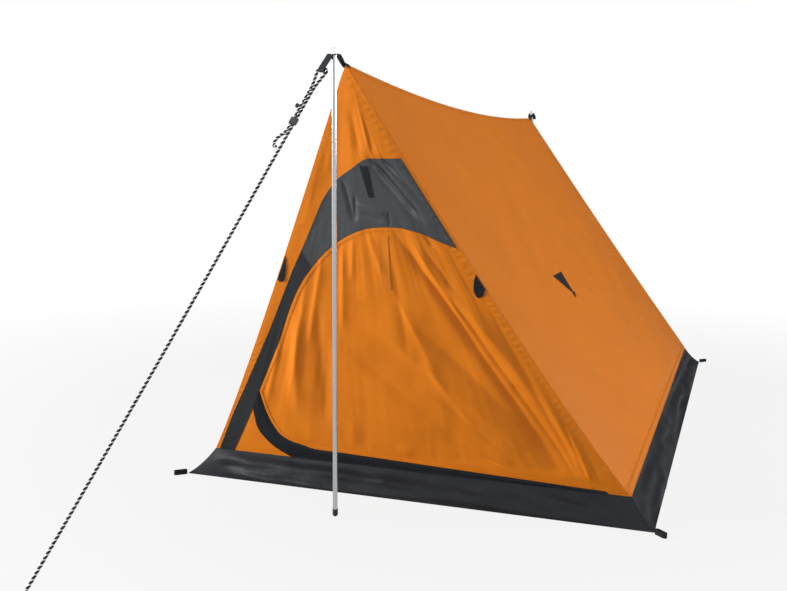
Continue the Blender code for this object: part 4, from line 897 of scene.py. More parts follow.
def finish_of(name):
    """The shared finish of that name, made once from the scene's settings."""
    found = bpy.data.materials.get(name)
    if found:
        return found
    cloth = bpy.context.scene.tent_cloth
    fittings = bpy.context.scene.tent_fittings
    rope = bpy.context.scene.tent_guyline
    # Webbing ribs and braid, as thread spacings, bump, the share of painted shade in the weave's hollows,
    # the share of painted highlight on its threads, and gloss
    ribs = ((0.0022, 0.0018), (0.25, 0.0002), 0.70, 1.50, 0.15)
    braid = ((0.0016, 0.0012), (0.70, 0.0003), 0.75, 1.15, 0.30)
    drawn = (900.0, 900.0, 12.0)
    pressed = (400.0, 400.0, 400.0)
    makers = {
        "orange_nylon": (cloth_material, cloth.orange, 0.44, 0.16, 0.24, 0.03),
        "tape_nylon": (cloth_material, cloth.tape, 0.50, 0.16, 0.25, 0.04),
        "arch_nylon": (cloth_material, cloth.arch, 0.36, 0.35, 0.45, 0.0, cloth.black),
        "black_nylon": (cloth_material, cloth.black, 0.45, 0.30, 0.12, 0.0),
        "groundsheet_nylon": (cloth_material, cloth.black, 0.58, 0.20, 0.12, 0.0),
        "webbing_weave": (woven_material, fittings.webbing, 0.72, *ribs),
        "orange_thread": (woven_material, cloth.thread, 0.55, *braid),
        "black_thread": (woven_material, cloth.black_thread, 0.60, *braid),
        "dark_strand": (woven_material, rope.dark, 0.70, *braid),
        "pale_strand": (woven_material, rope.pale, 0.70, *braid),
        "pole_aluminium": (metal_material, fittings.aluminium, 0.20, drawn),
        "bright_steel": (metal_material, fittings.steel, 0.26, pressed),
        "plastic_black": (plastic_material, fittings.plastic, 0.42),
        "rubber_black": (plastic_material, fittings.plastic, 0.75),
        "zip_nylon": (plastic_material, fittings.plastic, 0.50),
    }
    maker, *values = makers[name]
    return maker(name, *values)


# Stitches and zip teeth


def repeat_tree(name):
    """Geometry nodes that set rounded beads along lines, turned to follow the line and its lay."""
    tree = bpy.data.node_groups.get(name)
    if tree:
        return tree
    tree = bpy.data.node_groups.new(name, "GeometryNodeTree")
    face = tree.interface
    face.new_socket("Lines", in_out="INPUT", socket_type="NodeSocketGeometry")
    for label, value in (("Spacing", 0.005), ("Length", 0.003), ("Width", 0.0006), ("Height", 0.0006)):
        socket = face.new_socket(label, in_out="INPUT", socket_type="NodeSocketFloat")
        socket.default_value = value
    face.new_socket("Finish", in_out="INPUT", socket_type="NodeSocketMaterial")
    face.new_socket("Geometry", in_out="OUTPUT", socket_type="NodeSocketGeometry")
    given = tree.nodes.new("NodeGroupInput").outputs
    lines = add_node(tree, "GeometryNodeMeshToCurve", Mesh=given["Lines"])
    line = lines.outputs[0]
    by_length = {"mode": "LENGTH"}
    evenly = add_node(tree, "GeometryNodeResampleCurve", by_length, Curve=line, Length=given["Spacing"])
    bead = add_node(tree, "GeometryNodeMeshUVSphere", Segments=6, Rings=4, Radius=0.5)
    size = add_node(tree, "ShaderNodeCombineXYZ", X=given["Length"], Y=given["Width"], Z=given["Height"])
    shaped = add_node(tree, "GeometryNodeTransform", Geometry=bead.outputs[0], Scale=size.outputs[0])
    along = add_node(tree, "GeometryNodeInputTangent")
    lay = add_node(tree, "GeometryNodeInputNamedAttribute", {"data_type": "FLOAT_VECTOR"}, Name="lay")
    turn = "FunctionNodeAlignRotationToVector"
    turned = add_node(tree, turn, {"axis": "X"}, Vector=along.outputs[0]).outputs[0]
    upright = {"axis": "Z", "pivot_axis": "X"}
    settled = add_node(tree, turn, upright, Rotation=turned, Vector=lay.outputs[0]).outputs[0]
    set_out = add_node(tree, "GeometryNodeInstanceOnPoints", Points=evenly.outputs[0])
    feed(tree, set_out.inputs["Instance"], shaped.outputs[0])
    feed(tree, set_out.inputs["Rotation"], settled)
    real = add_node(tree, "GeometryNodeRealizeInstances", Geometry=set_out.outputs[0])
    dressed = add_node(tree, "GeometryNodeSetMaterial", Geometry=real.outputs[0], Material=given["Finish"])
    result = tree.nodes.new("NodeGroupOutput")
    tree.links.new(dressed.outputs[0], result.inputs[0])
    return tree


def make_repeat(name, lines, values, look, body="canopy"):
    """Mesh of beads along (points, lay) lines, for one body."""
    points = np.concatenate([line for line, _ in lines])
    lays = np.concatenate([np.broadcast_to(lay, line.shape) for line, lay in lines])
    edges = []
    start = 0
    for line, _ in lines:
        edges += [(start + i, start + i + 1) for i in range(len(line) - 1)]
        start += len(line)
    mesh = bpy.data.meshes.new(name + "_lines")
    mesh.from_pydata((points + ORIGIN).tolist(), edges, [])
    attribute = mesh.attributes.new("lay", "FLOAT_VECTOR", "POINT")
    attribute.data.foreach_set("vector", lays.astype(np.float32).ravel())
    carrier = bpy.data.objects.new(name + "_lines", mesh)
    bpy.context.scene.collection.objects.link(carrier)
    tree = repeat_tree("beads_along_lines")
    modifier = carrier.modifiers.new("beads", "NODES")
    modifier.node_group = tree
    given = {**values, "Finish": finish_of(look)}
    for item in tree.interface.items_tree:
        if item.item_type == "SOCKET" and item.in_out == "INPUT" and item.name in given:
            modifier[item.identifier] = given[item.name]
    bpy.context.view_layer.update()
    evaluated = carrier.evaluated_get(bpy.context.evaluated_depsgraph_get())
    result = bpy.data.meshes.new_from_object(evaluated)
    result.name = name
    carrier.modifiers.remove(modifier)
    bpy.data.objects.remove(carrier)
    if not result.polygons:
        raise RuntimeError(name + " came out empty")
    result.shade_smooth()
    return link_piece(name, result, (), body)


def make_stitches(name, lines, look, body="canopy"):
    pitch = bpy.context.scene.tent_cloth.stitch_pitch
    sizes = {"Spacing": pitch, "Length": pitch * 0.72, "Width": 0.0007, "Height": 0.0007}
    return make_repeat(name, lines, sizes, look, body)


def wall_line(flat, out):
    """Line on the creased front wall, with its lay, for stitches."""
    flat = resampled(np.asarray(flat, float), 0.006)
    return wall_surface(flat, out), WALL_OUT


def roof_line(side, along, up, out):
    """Line on the creased roof, with its lay, for stitches."""
    share = np.linspace(0, 1, 60)
    keys = np.linspace(0, 1, len(along))
    along = np.interp(share, keys, along)
    up = np.interp(share, keys, up)
    return roof_surface(side, along, up, out), roof_normal(side, along, up)


# Cloth panels


def wall_grid(flat, out=0.0):
    """Grid of the creased front wall, with its pattern coordinates."""
    return wall_surface(flat, out), flat


def roof_grid(side, along, up, out=0.0):
    """Grid of one creased roof panel, with its pattern coordinates."""
    return roof_surface(side, along, up, out), np.stack([along * BASE_LENGTH, up * ROOF_SLOPE], -1)


def hem_lift(along, up):
    """How far the rippled hem stands off the roof near its lower edge."""
    ripple = smooth_noise(along * BASE_LENGTH / 0.016, up * 30, 31)
    return 0.0010 + 0.0009 * (1 + ripple) * np.sin(np.pi * (up - 0.001) / 0.016)


def build_roofs():
    """Both roof panels, each with the rippled hem along its foot."""
    for side in SIDES:
        look = (ROOF_OUT[side], "orange_nylon", "orange_cloth")
        along, up = np.meshgrid(np.linspace(0.0, 1.0, 301), np.linspace(0.0, 1.0, 151))
        cloth = make_cloth("roof_cloth_" + side, roof_grid(side, along, up), *look, ["roof_panel_" + side])
        along, up = np.meshgrid(np.linspace(0.004, 0.996, 320), np.linspace(0.001, 0.017, 5))
        hem = make_cloth("roof_hem_" + side, roof_grid(side, along, up, hem_lift(along, up)), *look)


def sew_band(name, flat, out, look, slot, node):
    """Long cut of cloth on the front wall."""
    cloth = make_cloth(name, wall_grid(flat, out), WALL_OUT, look, slot, [node])


def build_front_wall():
    """Upper and side parts of the orange front wall, round the black arch."""
    times = 10
    left = stepped(LEFT_SEAM_STEPS)
    right = stepped(RIGHT_SEAM_STEPS)
    last = len(left) - 1
    steps = np.arange(last + 1)
    rising = np.interp(np.arange(last * times + 1) / times, steps, left)
    falling = np.interp(np.arange(last * times, TIP * times - 1, -1) / times, steps, right)
    seam = np.concatenate([front_seam("left", rising), front_seam("right", falling[1:])])
    outer = finer(PATHS["outer"], times, (ARCH_CORNER,))
    flat = ruled([seam, outer], [44])
    sew_band("front_wall_cloth", flat, 0.0, "orange_nylon", "orange_cloth", "front_wall")


def build_door():
    """Door cloth with the plain strip beside its fold, as one cloth."""
    zip_line = finer(PATHS["zip"], 8, (ZIP_CORNER,))
    share = np.linspace(0.0, 1.0, len(zip_line))
    hinge = lerp(PATHS["tip"], PATHS["corner"], share[:, None])
    top = stepped(RIGHT_SEAM_STEPS)[TIP]
    seam = front_seam("right", lerp(top, top * 0.1, share))
    sides = path_sides(zip_line)
    inside = zip_line + sides * 0.0008
    inside[[0, -1]] = zip_line[[0, -1]]
    main = wall_grid(ruled([inside, hinge, seam], [140, 8]))
    last = np.array([PATHS["corner"], PATHS["flap_end"]])
    foot = wall_grid(ruled([last, np.array([seam[-1], front_seam("right", 0.0)])], [8]))
    look = ("orange_nylon", "orange_cloth")
    cloth = make_cloth("door_cloth", main, WALL_OUT, *look, ["door_panel"], None, more=[foot])
    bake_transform(cloth)
    hem_flat = np.stack([(zip_line + sides * d)[4:-4] for d in (0.001, 0.003, 0.006, 0.009)], 1)
    hem = make_cloth("door_hem", wall_grid(hem_flat, 0.0009), WALL_OUT, *look, body="door")


def build_black_front():
    """Black arch panel and zip flap, with the small orange gusset between them."""
    outer = finer(PATHS["outer"], 12, (ARCH_CORNER,))
    inner = finer(PATHS["inner"], 12)
    lap = outer - unit(inner - outer) * 0.0020
    arch = ruled([lap, inner], [60])
    sew_band("arch_cloth", arch, 0.0010, "arch_nylon", "black_cloth", "front_arch_panel")
    low = finer(PATHS["flap_low"], 6, (FLAP_FOOT,))
    flap = ruled([low, finer(PATHS["zip_low"], 6, (ZIP_FOOT,))], [8])
    share = np.linspace(0, 1, 9)[None]
    side = flap[..., 0]
    ripple = 1 + smooth_noise(side / 0.022, share * 3 + side * 8, 41)
    lift = 0.0010 + 0.0012 * ripple * np.sin(np.pi * share) * smoothstep((side + 0.43) / 0.05)
    sew_band("zip_flap_cloth", flap, lift, "black_nylon", "black_cloth", "door_zip_flap")
    edges = [PATHS["inner"][: FLAP_START + 1], PATHS["flap_low"][FLAP_FOOT::-1]]
    gusset = ruled([finer(edge, 6) for edge in edges], [10])
    sew_band("corner_gusset_cloth", gusset, 0.0, "orange_nylon", "orange_cloth", "front_corner_gusset")


def build_rear_wall():
    up = np.linspace(0.0, 1.0, 101)
    grid = ruled([rear_seam("left", up), rear_seam("right", up)], [70])
    across, up = np.meshgrid(np.linspace(0, 1, 71), up)
    out = unit(np.array([0.0, WALL_RISE, BASE_LENGTH - SKIRT_INSET_END - REAR_APEX[1]]))
    width = (1 - up) * REAR_CUT[0]
    relief = 0.0035 * smooth_noise(across * width / 0.10 + 2, up / 0.30, 51)
    relief += 0.0014 * smooth_noise(across * width / 0.03, up / 0.22, 52)
    edge = np.minimum(np.minimum(across, 1 - across) * width, np.minimum(up, 1 - up))
    relief *= smoothstep((edge - 0.004) / 0.06) * bpy.context.scene.tent_cloth.fold_strength
    pattern = np.stack([(across - 0.5) * width, up * REAR_CUT[1]], -1)
    grid = (grid + out * relief[..., None], pattern)
    wall = make_cloth("rear_wall_cloth", grid, out, "orange_nylon", "orange_cloth", ["rear_wall"])


def skirt_points(top, bottom, v, seed):
    """Skirt between its seam and the ground, with soft folds that die out at all its edges."""
    along = path_lengths(bottom)
    v = v[:, None]
    ends = smoothstep(np.minimum(along, along[-1] - along) / 0.09)
    relief = 0.0070 * smooth_noise(along / 0.26, v * 3.8 + along * 1.5, seed)
    relief += 0.0022 * smooth_noise(along / 0.07, v * 5 + along * 7, seed + 1)
    relief *= np.sin(np.pi * v) ** 0.7 * ends * bpy.context.scene.tent_cloth.fold_strength
    slope = unit(top[len(top) // 2] - bottom[len(top) // 2])
    outward = unit(np.cross(unit(bottom[-1] - bottom[0]), slope))
    outward = outward * np.sign(outward[2])
    sway = 0.0022 * smooth_noise(along / 0.05, along * 0 + 1, seed + 2) - 0.003
    away = outward * np.array([1, 1, 0])
    grid = lerp(bottom, top, v[..., None]) + outward * relief[..., None]
    grid = grid + away * ((1 - v) ** 2 * sway * ends)[..., None]
    grid[..., 2] = np.maximum(grid[..., 2] - 4 * SKIRT_FLARE * v * (1 - v), 0.0002)
    return grid, np.stack(np.broadcast_arrays(along, v * 0.085), -1)


def build_skirts():
    v = np.linspace(0.0, 1.0, 13)
    top = wall_point(np.stack([np.linspace(-TOP_HALF_WIDTH, TOP_HALF_WIDTH, 221), np.zeros(221)], -1))
    corner = np.array([BASE_WIDTH / 2, 0.0, GROUND_Z])
    lines = {}
    for end, y, inset in (("front", 0.0, SKIRT_INSET_END), ("rear", BASE_LENGTH, -SKIRT_INSET_END)):
        seam = top * np.array([1, 0, 1]) + np.array([0.0, y + inset, 0.0])
        foot = top * np.array([BASE_WIDTH / 2 / TOP_HALF_WIDTH, 0, 0]) + np.array([0.0, y, GROUND_Z])
        lines[end] = (seam, foot)
    share = np.linspace(0.0, 1.0, 361)
    for side, sign in SIDES.items():
        start = corner * np.array([sign, 1, 1])
        foot = lerp(start, start + np.array([0.0, BASE_LENGTH, 0.0]), share[:, None])
        lines[side] = (roof_base(side, share, share * 0), foot)
    for seed, (name, (seam, foot)) in enumerate(lines.items()):
        grid = skirt_points(seam, foot, v, 60 + 5 * seed)
        cloth = make_cloth("skirt_cloth_" + name, grid, UP, "black_nylon", "black_cloth", ["skirt_" + name])


def build_floor():
    x = np.linspace(-BASE_WIDTH / 2 + 0.001, BASE_WIDTH / 2 - 0.001, 62)
    x, y = np.meshgrid(x, np.linspace(0.001, BASE_LENGTH - 0.001, 111))
    edge = np.minimum(BASE_WIDTH / 2 - abs(x), np.minimum(y, BASE_LENGTH - y))
    rise = 0.002 * (1 + smooth_noise(x / 0.12, y / 0.20, 81))
    rise += 0.0008 * (1 + smooth_noise(x / 0.04, y / 0.05, 82))
    grid = (np.stack([x, y, 0.0001 + rise * smoothstep(edge / 0.06)], -1), np.stack([x, y], -1))
    floor = make_cloth("floor_cloth", grid, UP, "groundsheet_nylon", "black_cloth", ["floor"])


# Seams


def seam_strip(name, line, inward, normal):
    """Raised lap seam beside a cloth edge, with its rolled edge on the line."""
    rings = np.stack([line + inward * a + normal * b for a, b in SEAM_SECTION], 1)
    sides = len(SEAM_SECTION)
    along = np.repeat(path_lengths(line), sides)
    across = np.tile([a for a, _ in SEAM_SECTION], len(line))
    shape = (rings.reshape(-1, 3), ring_faces(len(line), sides), np.stack([along, across], -1))
    make_piece(name, shape, "orange_nylon", "orange_cloth")


def build_seams():
    """Lap seams along the roof's front, rear and ridge, with two rows of stitches on each."""
    rows = []

    def sew(name, side, along, up, inwards):
        line = roof_base(side, along, up)
        inward = unit(roof_base(side, along + inwards[0], up + inwards[1]) - line)
        normal = roof_normal(side, along, up)
        seam_strip(name, line, inward, normal)
        for depth in LAP_ROWS:
            rows.append((line + inward * depth + normal * LAP_STITCH_LIFT, normal))

    up = np.linspace(0.004, 0.985, 170)
    for side in SIDES:
        sew("front_seam_" + side, side, up * 0, up, (0.004, 0.0))
        sew("rear_seam_" + side, side, up * 0 + 1, up, (-0.004, 0.0))
    along = np.linspace(0.008, 0.992, 200)
    sew("ridge_seam", "right", along, along * 0 + 1, (0.0, -0.01))
    make_stitches("orange_stitches", rows, "orange_thread")


def build_stitches():
    """Rows of thread on the black panels, the roof's hems and the door."""
    outer = finer(PATHS["outer"], 4, (ARCH_CORNER,))
    inner = finer(PATHS["inner"], 4)
    inward = unit(inner - outer)
    zip_low = PATHS["zip_low"]
    flap_low = PATHS["flap_low"]
    black = [
        wall_line(outer + inward * 0.0008, 0.0020),
        wall_line(outer + inward * 0.0055, 0.0020),
        wall_line((inner - inward * 0.0045)[2:-2], 0.0020),
        wall_line((zip_low - path_sides(zip_low) * 0.004)[1:-1], 0.0024),
        wall_line((flap_low + path_sides(flap_low) * 0.003)[1:], 0.0024),
    ]
    side = np.linspace(-0.54, 0.54, 150)
    side = side[side > 0.497]
    for row in (0.006, 0.011):
        flat = np.stack([side, np.full(len(side), row)], -1)
        black.append((wall_surface(flat, 0.0010), WALL_OUT))
    along = np.linspace(0.004, 0.996, 400)
    for side in SIDES:
        for row in (0.003, 0.014):
            up = along * 0 + row
            lift = hem_lift(along, up) + 0.0010
            black.append((roof_surface(side, along, up, lift), roof_normal(side, along, up)))
    make_stitches("black_stitches", black, "black_thread")
    zip_line = finer(PATHS["zip"], 4, (ZIP_CORNER,))
    hem = (zip_line + path_sides(zip_line) * 0.0065)[5:-5]
    width, top, middle, low, lean = BOX_STITCH.values()
    left, right = -width / 2, width / 2
    rows = (
        ((left + lean, top), (left, low), (right, low), (right + lean, top), (left + lean, top)),
        ((right, middle), (left, middle), (right, low)),
        ((right, middle), (left, low)),
    )
    door = [wall_line(hem, 0.0019)]
    door += [wall_line([on_wall(*place) for place in row], 0.0024) for row in rows]
    make_stitches("door_stitches", door, "orange_thread", "door")


# Zip


def build_zip():
    """Woven tapes and nylon coils of both halves, behind the cloth."""
    line = trimmed(finer(PATHS["zip"], 4, (ZIP_CORNER,)), ZIP_MARGIN, ZIP_MARGIN)
    sides = path_sides(line)
    near = -SOLID_CLOTH / 2 - FIT
    for half, sign, body in (("door", 1.0, "door"), ("wall", -1.0, "canopy")):
        flat = np.stack([line + sides * sign * column for column in ZIP_TAPE_COLUMNS], 1)
        grid = wall_grid(flat, near - 0.0007)
        node = "zip_tape_" + half
        look = ("webbing_weave", "black_cloth")
        tape = make_cloth(node + "_woven", grid, WALL_OUT, *look, [node], body, 0.0006)
        track = (wall_surface(line + sides * sign * 0.0016, near - 0.0016), WALL_OUT)
        make_repeat("zip_teeth_" + half, [track], ZIP_COIL, "zip_nylon", body)


# Webbing


def frame_at(origin, up, towards):
    """Origin and three axes, with the third along one direction and the first towards another."""
    third = unit(np.asarray(up, float))
    first = unit(towards - np.dot(towards, third) * third)
    return origin, first, np.cross(third, first), third


def from_frame(place, x, y, z):
    """Points in space from their coordinates in a frame."""
    origin, *axes = place
    return origin + sum(np.multiply.outer(far, axis) for far, axis in zip((x, y, z), axes))


def strap_line(place, apex):
    """Side view of an apex strap: up from the cloth, flat over the pole, down and round the cord eye."""
    origin, first, _, third = place
    rise = SOLID_CLOTH + STRAP_THICKNESS / 2 + SLACK
    behind = np.array([np.dot(apex - origin, first), np.dot(apex - origin, third) + rise])
    eye_radius = CORD_RADIUS + SLACK + STRAP_THICKNESS / 2
    flat = np.array(STRAP_FLAT)
    drop = np.array(STRAP_DROP)
    curl = flat + drop
    along = unit(drop)
    side = np.array([along[1], -along[0]])
    centre = curl + side * eye_radius
    angles = np.radians(STRAP_TURN) * np.arange(1, 25) / 24
    eye = centre + (np.outer(np.cos(angles), -side) + np.outer(np.sin(angles), along)) * eye_radius
    keys = [behind, -flat, flat, curl]
    body = [lerp(a, b, t) for a, b in zip(keys, keys[1:]) for t in np.linspace(0, 1, 8)[:-1]]
    return np.concatenate([np.array(body), curl[None], eye]), centre


def pole_places():
    """Frames at the two eyelets, with the third axis up the pole, and the ridge's end at each."""
    front = FRONT_APEX + EYELET_OFFSET
    rear = REAR_APEX + REAR_EYELET_OFFSET
    return {
        "front": (frame_at(front, front - POLE_FOOT, GUY_GROUND - front), FRONT_APEX),
        "rear": (frame_at(rear, rear - REAR_POLE_FOOT, np.array([0.0, 1.0, 0.0])), REAR_APEX),
    }


def clear_bore(points, place):
    """The same points, with any in an eyelet's bore moved out to its edge."""
    axes = np.array(place[1:])
    local = (points - place[0]) @ axes.T
    flat = local[..., :2]
    inside = (abs(local[..., 2]) < 0.004) & (np.linalg.norm(flat, axis=-1) < EYELET_BORE)
    local[..., :2] = np.where(inside[..., None], unit(flat + 1e-9) * EYELET_BORE, flat)
    return place[0] + local @ axes


def build_straps():
    """Webbing straps over both pole tops, saddled on the ridge behind them."""
    for end, (place, apex) in pole_places().items():
        line, _ = strap_line(place, apex)
        points = from_frame(place, line[:, 0], np.zeros(len(line)), line[:, 1])
        behind = np.array([0.012, 0.008, 0.004])
        if end == "rear":
            behind = 1 - behind
        points = np.concatenate([ridge_point(behind) + points[0] - apex, points])
        grid, pattern = strip(points, place[2], STRAP_WIDTH, 7)
        turned = np.sign(place[2][0]) * pattern[..., 1]
        over = points[:, None] + np.stack([0.5 * turned, 0 * turned, -0.86 * abs(turned)], -1)
        share = smoothstep((np.arange(len(points)) - 3) / 7)[:, None, None]
        grid = (clear_bore(lerp(over, grid, share), place), pattern)
        sizes = {"thickness": STRAP_THICKNESS, "offset": -STRAP_THICKNESS / 2}
        make_cloth(end + "_strap_webbing", grid, place[3], *WEBBING, [end + "_strap"], **sizes)


def build_corner_loops():
    """Peg loop at each ground corner, on edge, so that a peg goes down through it."""
    radius = PEG_LOOP_RADIUS - LOOP_WEBBING / 2
    ends = PEG_LOOP_HALF - PEG_LOOP_RADIUS
    for end, ahead in (("front", -1.0), ("rear", 1.0)):
        for side, sign in SIDES.items():
            away = unit(np.array([sign, ahead, 0.0]))
            across = np.array([-away[1], away[0], 0.0])
            node = f"corner_loop_{end}_{side}"
            low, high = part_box(node)
            middle = np.array([(low.x + high.x) / 2, (low.y + high.y) / 2 - ORIGIN[1], PEG_LOOP_HEIGHT])
            outline = []
            for centre, begin in ((-ends, 90), (ends, -90)):
                for angle in np.radians(begin + 15 * np.arange(13)):
                    reach = centre + radius * math.cos(angle)
                    outline.append(middle + away * reach + across * radius * math.sin(angle))
            outline = resampled(np.array(outline + outline[:1]), 0.0018)
            outline[-1] = outline[0]
            grid = strip(outline, UP, PEG_LOOP_WIDTH)
            shape = shell([grid], 0 * UP, LOOP_WEBBING, -LOOP_WEBBING / 2)
            make_piece(node + "_webbing", shape, *WEBBING, [node], node)


def build_side_patches():
    """Tapered patch on each roof panel, with the webbing loop that holds its ring."""
    lines = []
    down = np.linspace(0, 1, 13)[:, None]
    across = np.linspace(-0.5, 0.5, 9)
    start, end = PATCH_TOP
    width = lerp(end - start, PATCH_TIP_WIDTH / BASE_LENGTH, down)
    along = lerp((start + end) / 2, GUY_PULL[0], down) + width * across
    up = lerp(*PATCH_HEIGHTS, down) + across * 0
    corners = ([0, 0, -1, -1], [0, -1, -1, 0])
    for side in SIDES:
        name = "side_patch_cloth_" + side
        look = (ROOF_OUT[side], "black_nylon", "black_webbing", ["side_patch_" + side])
        make_cloth(name, roof_grid(side, along, up, 0.0010), *look, thickness=0.0010)
        rim = np.stack([along[corners], up[corners]], -1)
        rim = lerp(rim.mean(axis=0), rim, 0.93)[[0, 1, 2, 3, 0]]
        lines.append(roof_line(side, *rim.T, 0.0022))
        build_side_loop(side)
    make_stitches("patch_stitches", lines, "black_thread")


def build_side_loop(side):
    """Webbing loop at the tip of a side patch, curled round the wire of its ring."""
    along = GUY_PULL[0]
    up = PATCH_HEIGHTS[1]
    tip = roof_base(side, along, up)
    ahead = unit(roof_base(side, along + 0.010, up) - tip)
    down = unit(roof_base(side, along, up - 0.010) - tip)
    normal = unit(np.cross(down, ahead)) * SIDES[side]
    down = np.cross(ahead, normal) * SIDES[side]
    wire = RING_WIRE + SLACK
    curl = wire + LOOP_WEBBING
    centre = tip + normal * (SOLID_CLOTH / 2 + 2 * FIT + curl) + down * (curl + FIT)
    low = 0.0012 + FIT - curl
    first = math.pi - math.asin(low / curl)
    last = 3 * math.pi - math.asin((low + LOOP_WEBBING) / curl)
    angles = np.linspace(first, last, 29)
    middle = (wire + curl) / 2
    turn = np.stack([np.cos(angles), np.sin(angles)], -1) * middle
    flat = low + LOOP_WEBBING / 2
    line = np.concatenate([[(-0.012, flat), (-0.008, flat)], turn])
    points = centre + np.outer(line[:, 0], down) + np.outer(line[:, 1], normal)
    grid = strip(points, ahead, SIDE_LOOP_WIDTH)
    shape = shell([grid], normal, SIDE_LOOP_WEBBING, -SIDE_LOOP_WEBBING / 2)
    make_piece("side_loop_webbing_" + side, shape, *WEBBING, ["side_loop_" + side])


def wall_band(ends, widths, rows):
    """Flat grid of a band on the front wall, that may narrow from its top to its bottom."""
    top, bottom = (on_wall(*end) for end in ends)
    down = np.linspace(0, 1, rows)[:, None]
    across = np.linspace(-0.5, 0.5, 6)[None, :, None] * np.array([1.0, 0.0])
    return lerp(top, bottom, down)[:, None] + lerp(*widths, down)[:, None] * across


def build_front_tapes():
    """Door tape, panel strap and the two seam patches on the front."""
    flat = wall_band(DOOR_TAPE, DOOR_TAPE_WIDTHS, 26)
    look = ("tape_nylon", "orange_cloth", ["door_tape"], "door", 0.0008)
    make_cloth("door_tape_cloth", wall_grid(flat, 0.0010), WALL_OUT, *look)
    flat = wall_band(PANEL_STRAP, PANEL_STRAP_WIDTHS, 12)
    look = (*WEBBING, ["panel_strap"], "canopy", 0.0012)
    make_cloth("panel_strap_webbing", wall_grid(flat, 0.0022), WALL_OUT, *look)
    share = (SEAM_PATCH_HEIGHT - SKIRT_HEIGHT) / WALL_RISE
    for side, drops in SEAM_PATCHES.items():
        centre = front_seam(side, share)
        up = unit(front_seam(side, share + 0.01) - centre)
        inward = np.array([-up[1], up[0]]) * SIDES[side]
        drop = smooth_path(drops, [4] * 5)
        drop = np.concatenate([drop, lerp(drop[-1], drop[0], np.linspace(0, 1, 8)[1:, None])])
        outline = centre + np.outer(drop[:, 0], up) + np.outer(drop[:, 1], inward)
        flat = lerp(outline[:-1].mean(axis=0), outline, np.linspace(0, 1, 6)[:, None, None])
        crown = 0.0006 * smoothstep(line_distance(flat, OUTLINE) / 0.01)
        grid = wall_grid(flat, SOLID_CLOTH / 2 + FIT + crown)
        look = (*WEBBING, ["edge_patch_" + side], "canopy", 0.0011)
        make_cloth("seam_patch_" + side, grid, WALL_OUT, *look)


def build_ridge_tape():
    """Tape under the ridge, between the two roof panels."""
    rows = []
    places = np.linspace(0.03, 0.97, 90)
    for place in places:
        spread = np.linalg.norm(roof_base("right", place, 0.98) - roof_base("left", place, 0.98))
        up = 1 - 0.02 * (RIDGE_TAPE_WIDTH + 0.004) / spread
        left = roof_base("left", place, up)
        right = roof_base("right", place, up)
        inset = unit(right - left) * 0.002
        rows.append(lerp(left + inset, right - inset, np.linspace(0, 1, 5)[:, None]))
    across = np.linspace(0, RIDGE_TAPE_WIDTH, 5)
    pattern = np.stack(np.broadcast_arrays(places[:, None] * 2.0, across), -1)
    look = (*WEBBING, ["ridge_tape"], "canopy", 0.0009, -0.0009)
    make_cloth("ridge_tape_webbing", (np.array(rows), pattern), UP, *look)


# Guyline


def twisted(points, pitch, closed=False):
    """The dark and the pale strand of a laid cord along a line, as tubes."""
    line = resampled(points, pitch / 12)
    steps = path_lengths(line)
    turns = steps[-1] / pitch
    if closed:
        line = line[:-1]
        steps = path_lengths(np.concatenate([line, line[:1]]))
        turns = round(steps[-1] / pitch)
    first, second = carried_frames(line, closed)
    angle = 2 * np.pi * turns * steps[: len(line)] / steps[-1]
    strands = []
    for phase, offset, radius in STRANDS:
        turn = np.cos(angle + phase)[:, None] * first + np.sin(angle + phase)[:, None] * second
        strands.append(tube(line + offset * turn, radius, 8, closed))
    return strands


def make_cord(name, points, nodes, closed=False):
    """Laid cord as one mesh with a dark and a pale strand."""
    dark, pale = twisted(points, bpy.context.scene.tent_guyline.pitch, closed)
    shape = joined([dark, pale])
    made = make_piece(name, shape, "dark_strand", "guyline_cord", nodes)
    made.data.materials.append(finish_of("pale_strand"))
    marks = np.zeros(len(shape[1]), int)
    marks[len(dark[1]) :] = 1
    made.data.polygons.foreach_set("material_index", marks)
    return made


def make_knot(name, centre, axis, size, radius, node):
    """Overhand knot drawn tight, as a tube on a three-lobed path."""
    angle = np.linspace(0, 2 * np.pi, 73)[:-1, None]
    third = unit(axis)
    side = unit(np.cross(third, [0.3, 0.9, 0.1]))
    points = centre + (np.sin(angle) + 2 * np.sin(2 * angle)) * size / 3 * side
    points = points + (np.cos(angle) - 2 * np.cos(2 * angle)) * size / 3 * np.cross(third, side)
    points = points - np.sin(3 * angle) * size * 0.55 * third
    shape = tube(points, radius, 10, closed=True)
    return make_piece(name, shape, "dark_strand", "guyline_cord", [node])


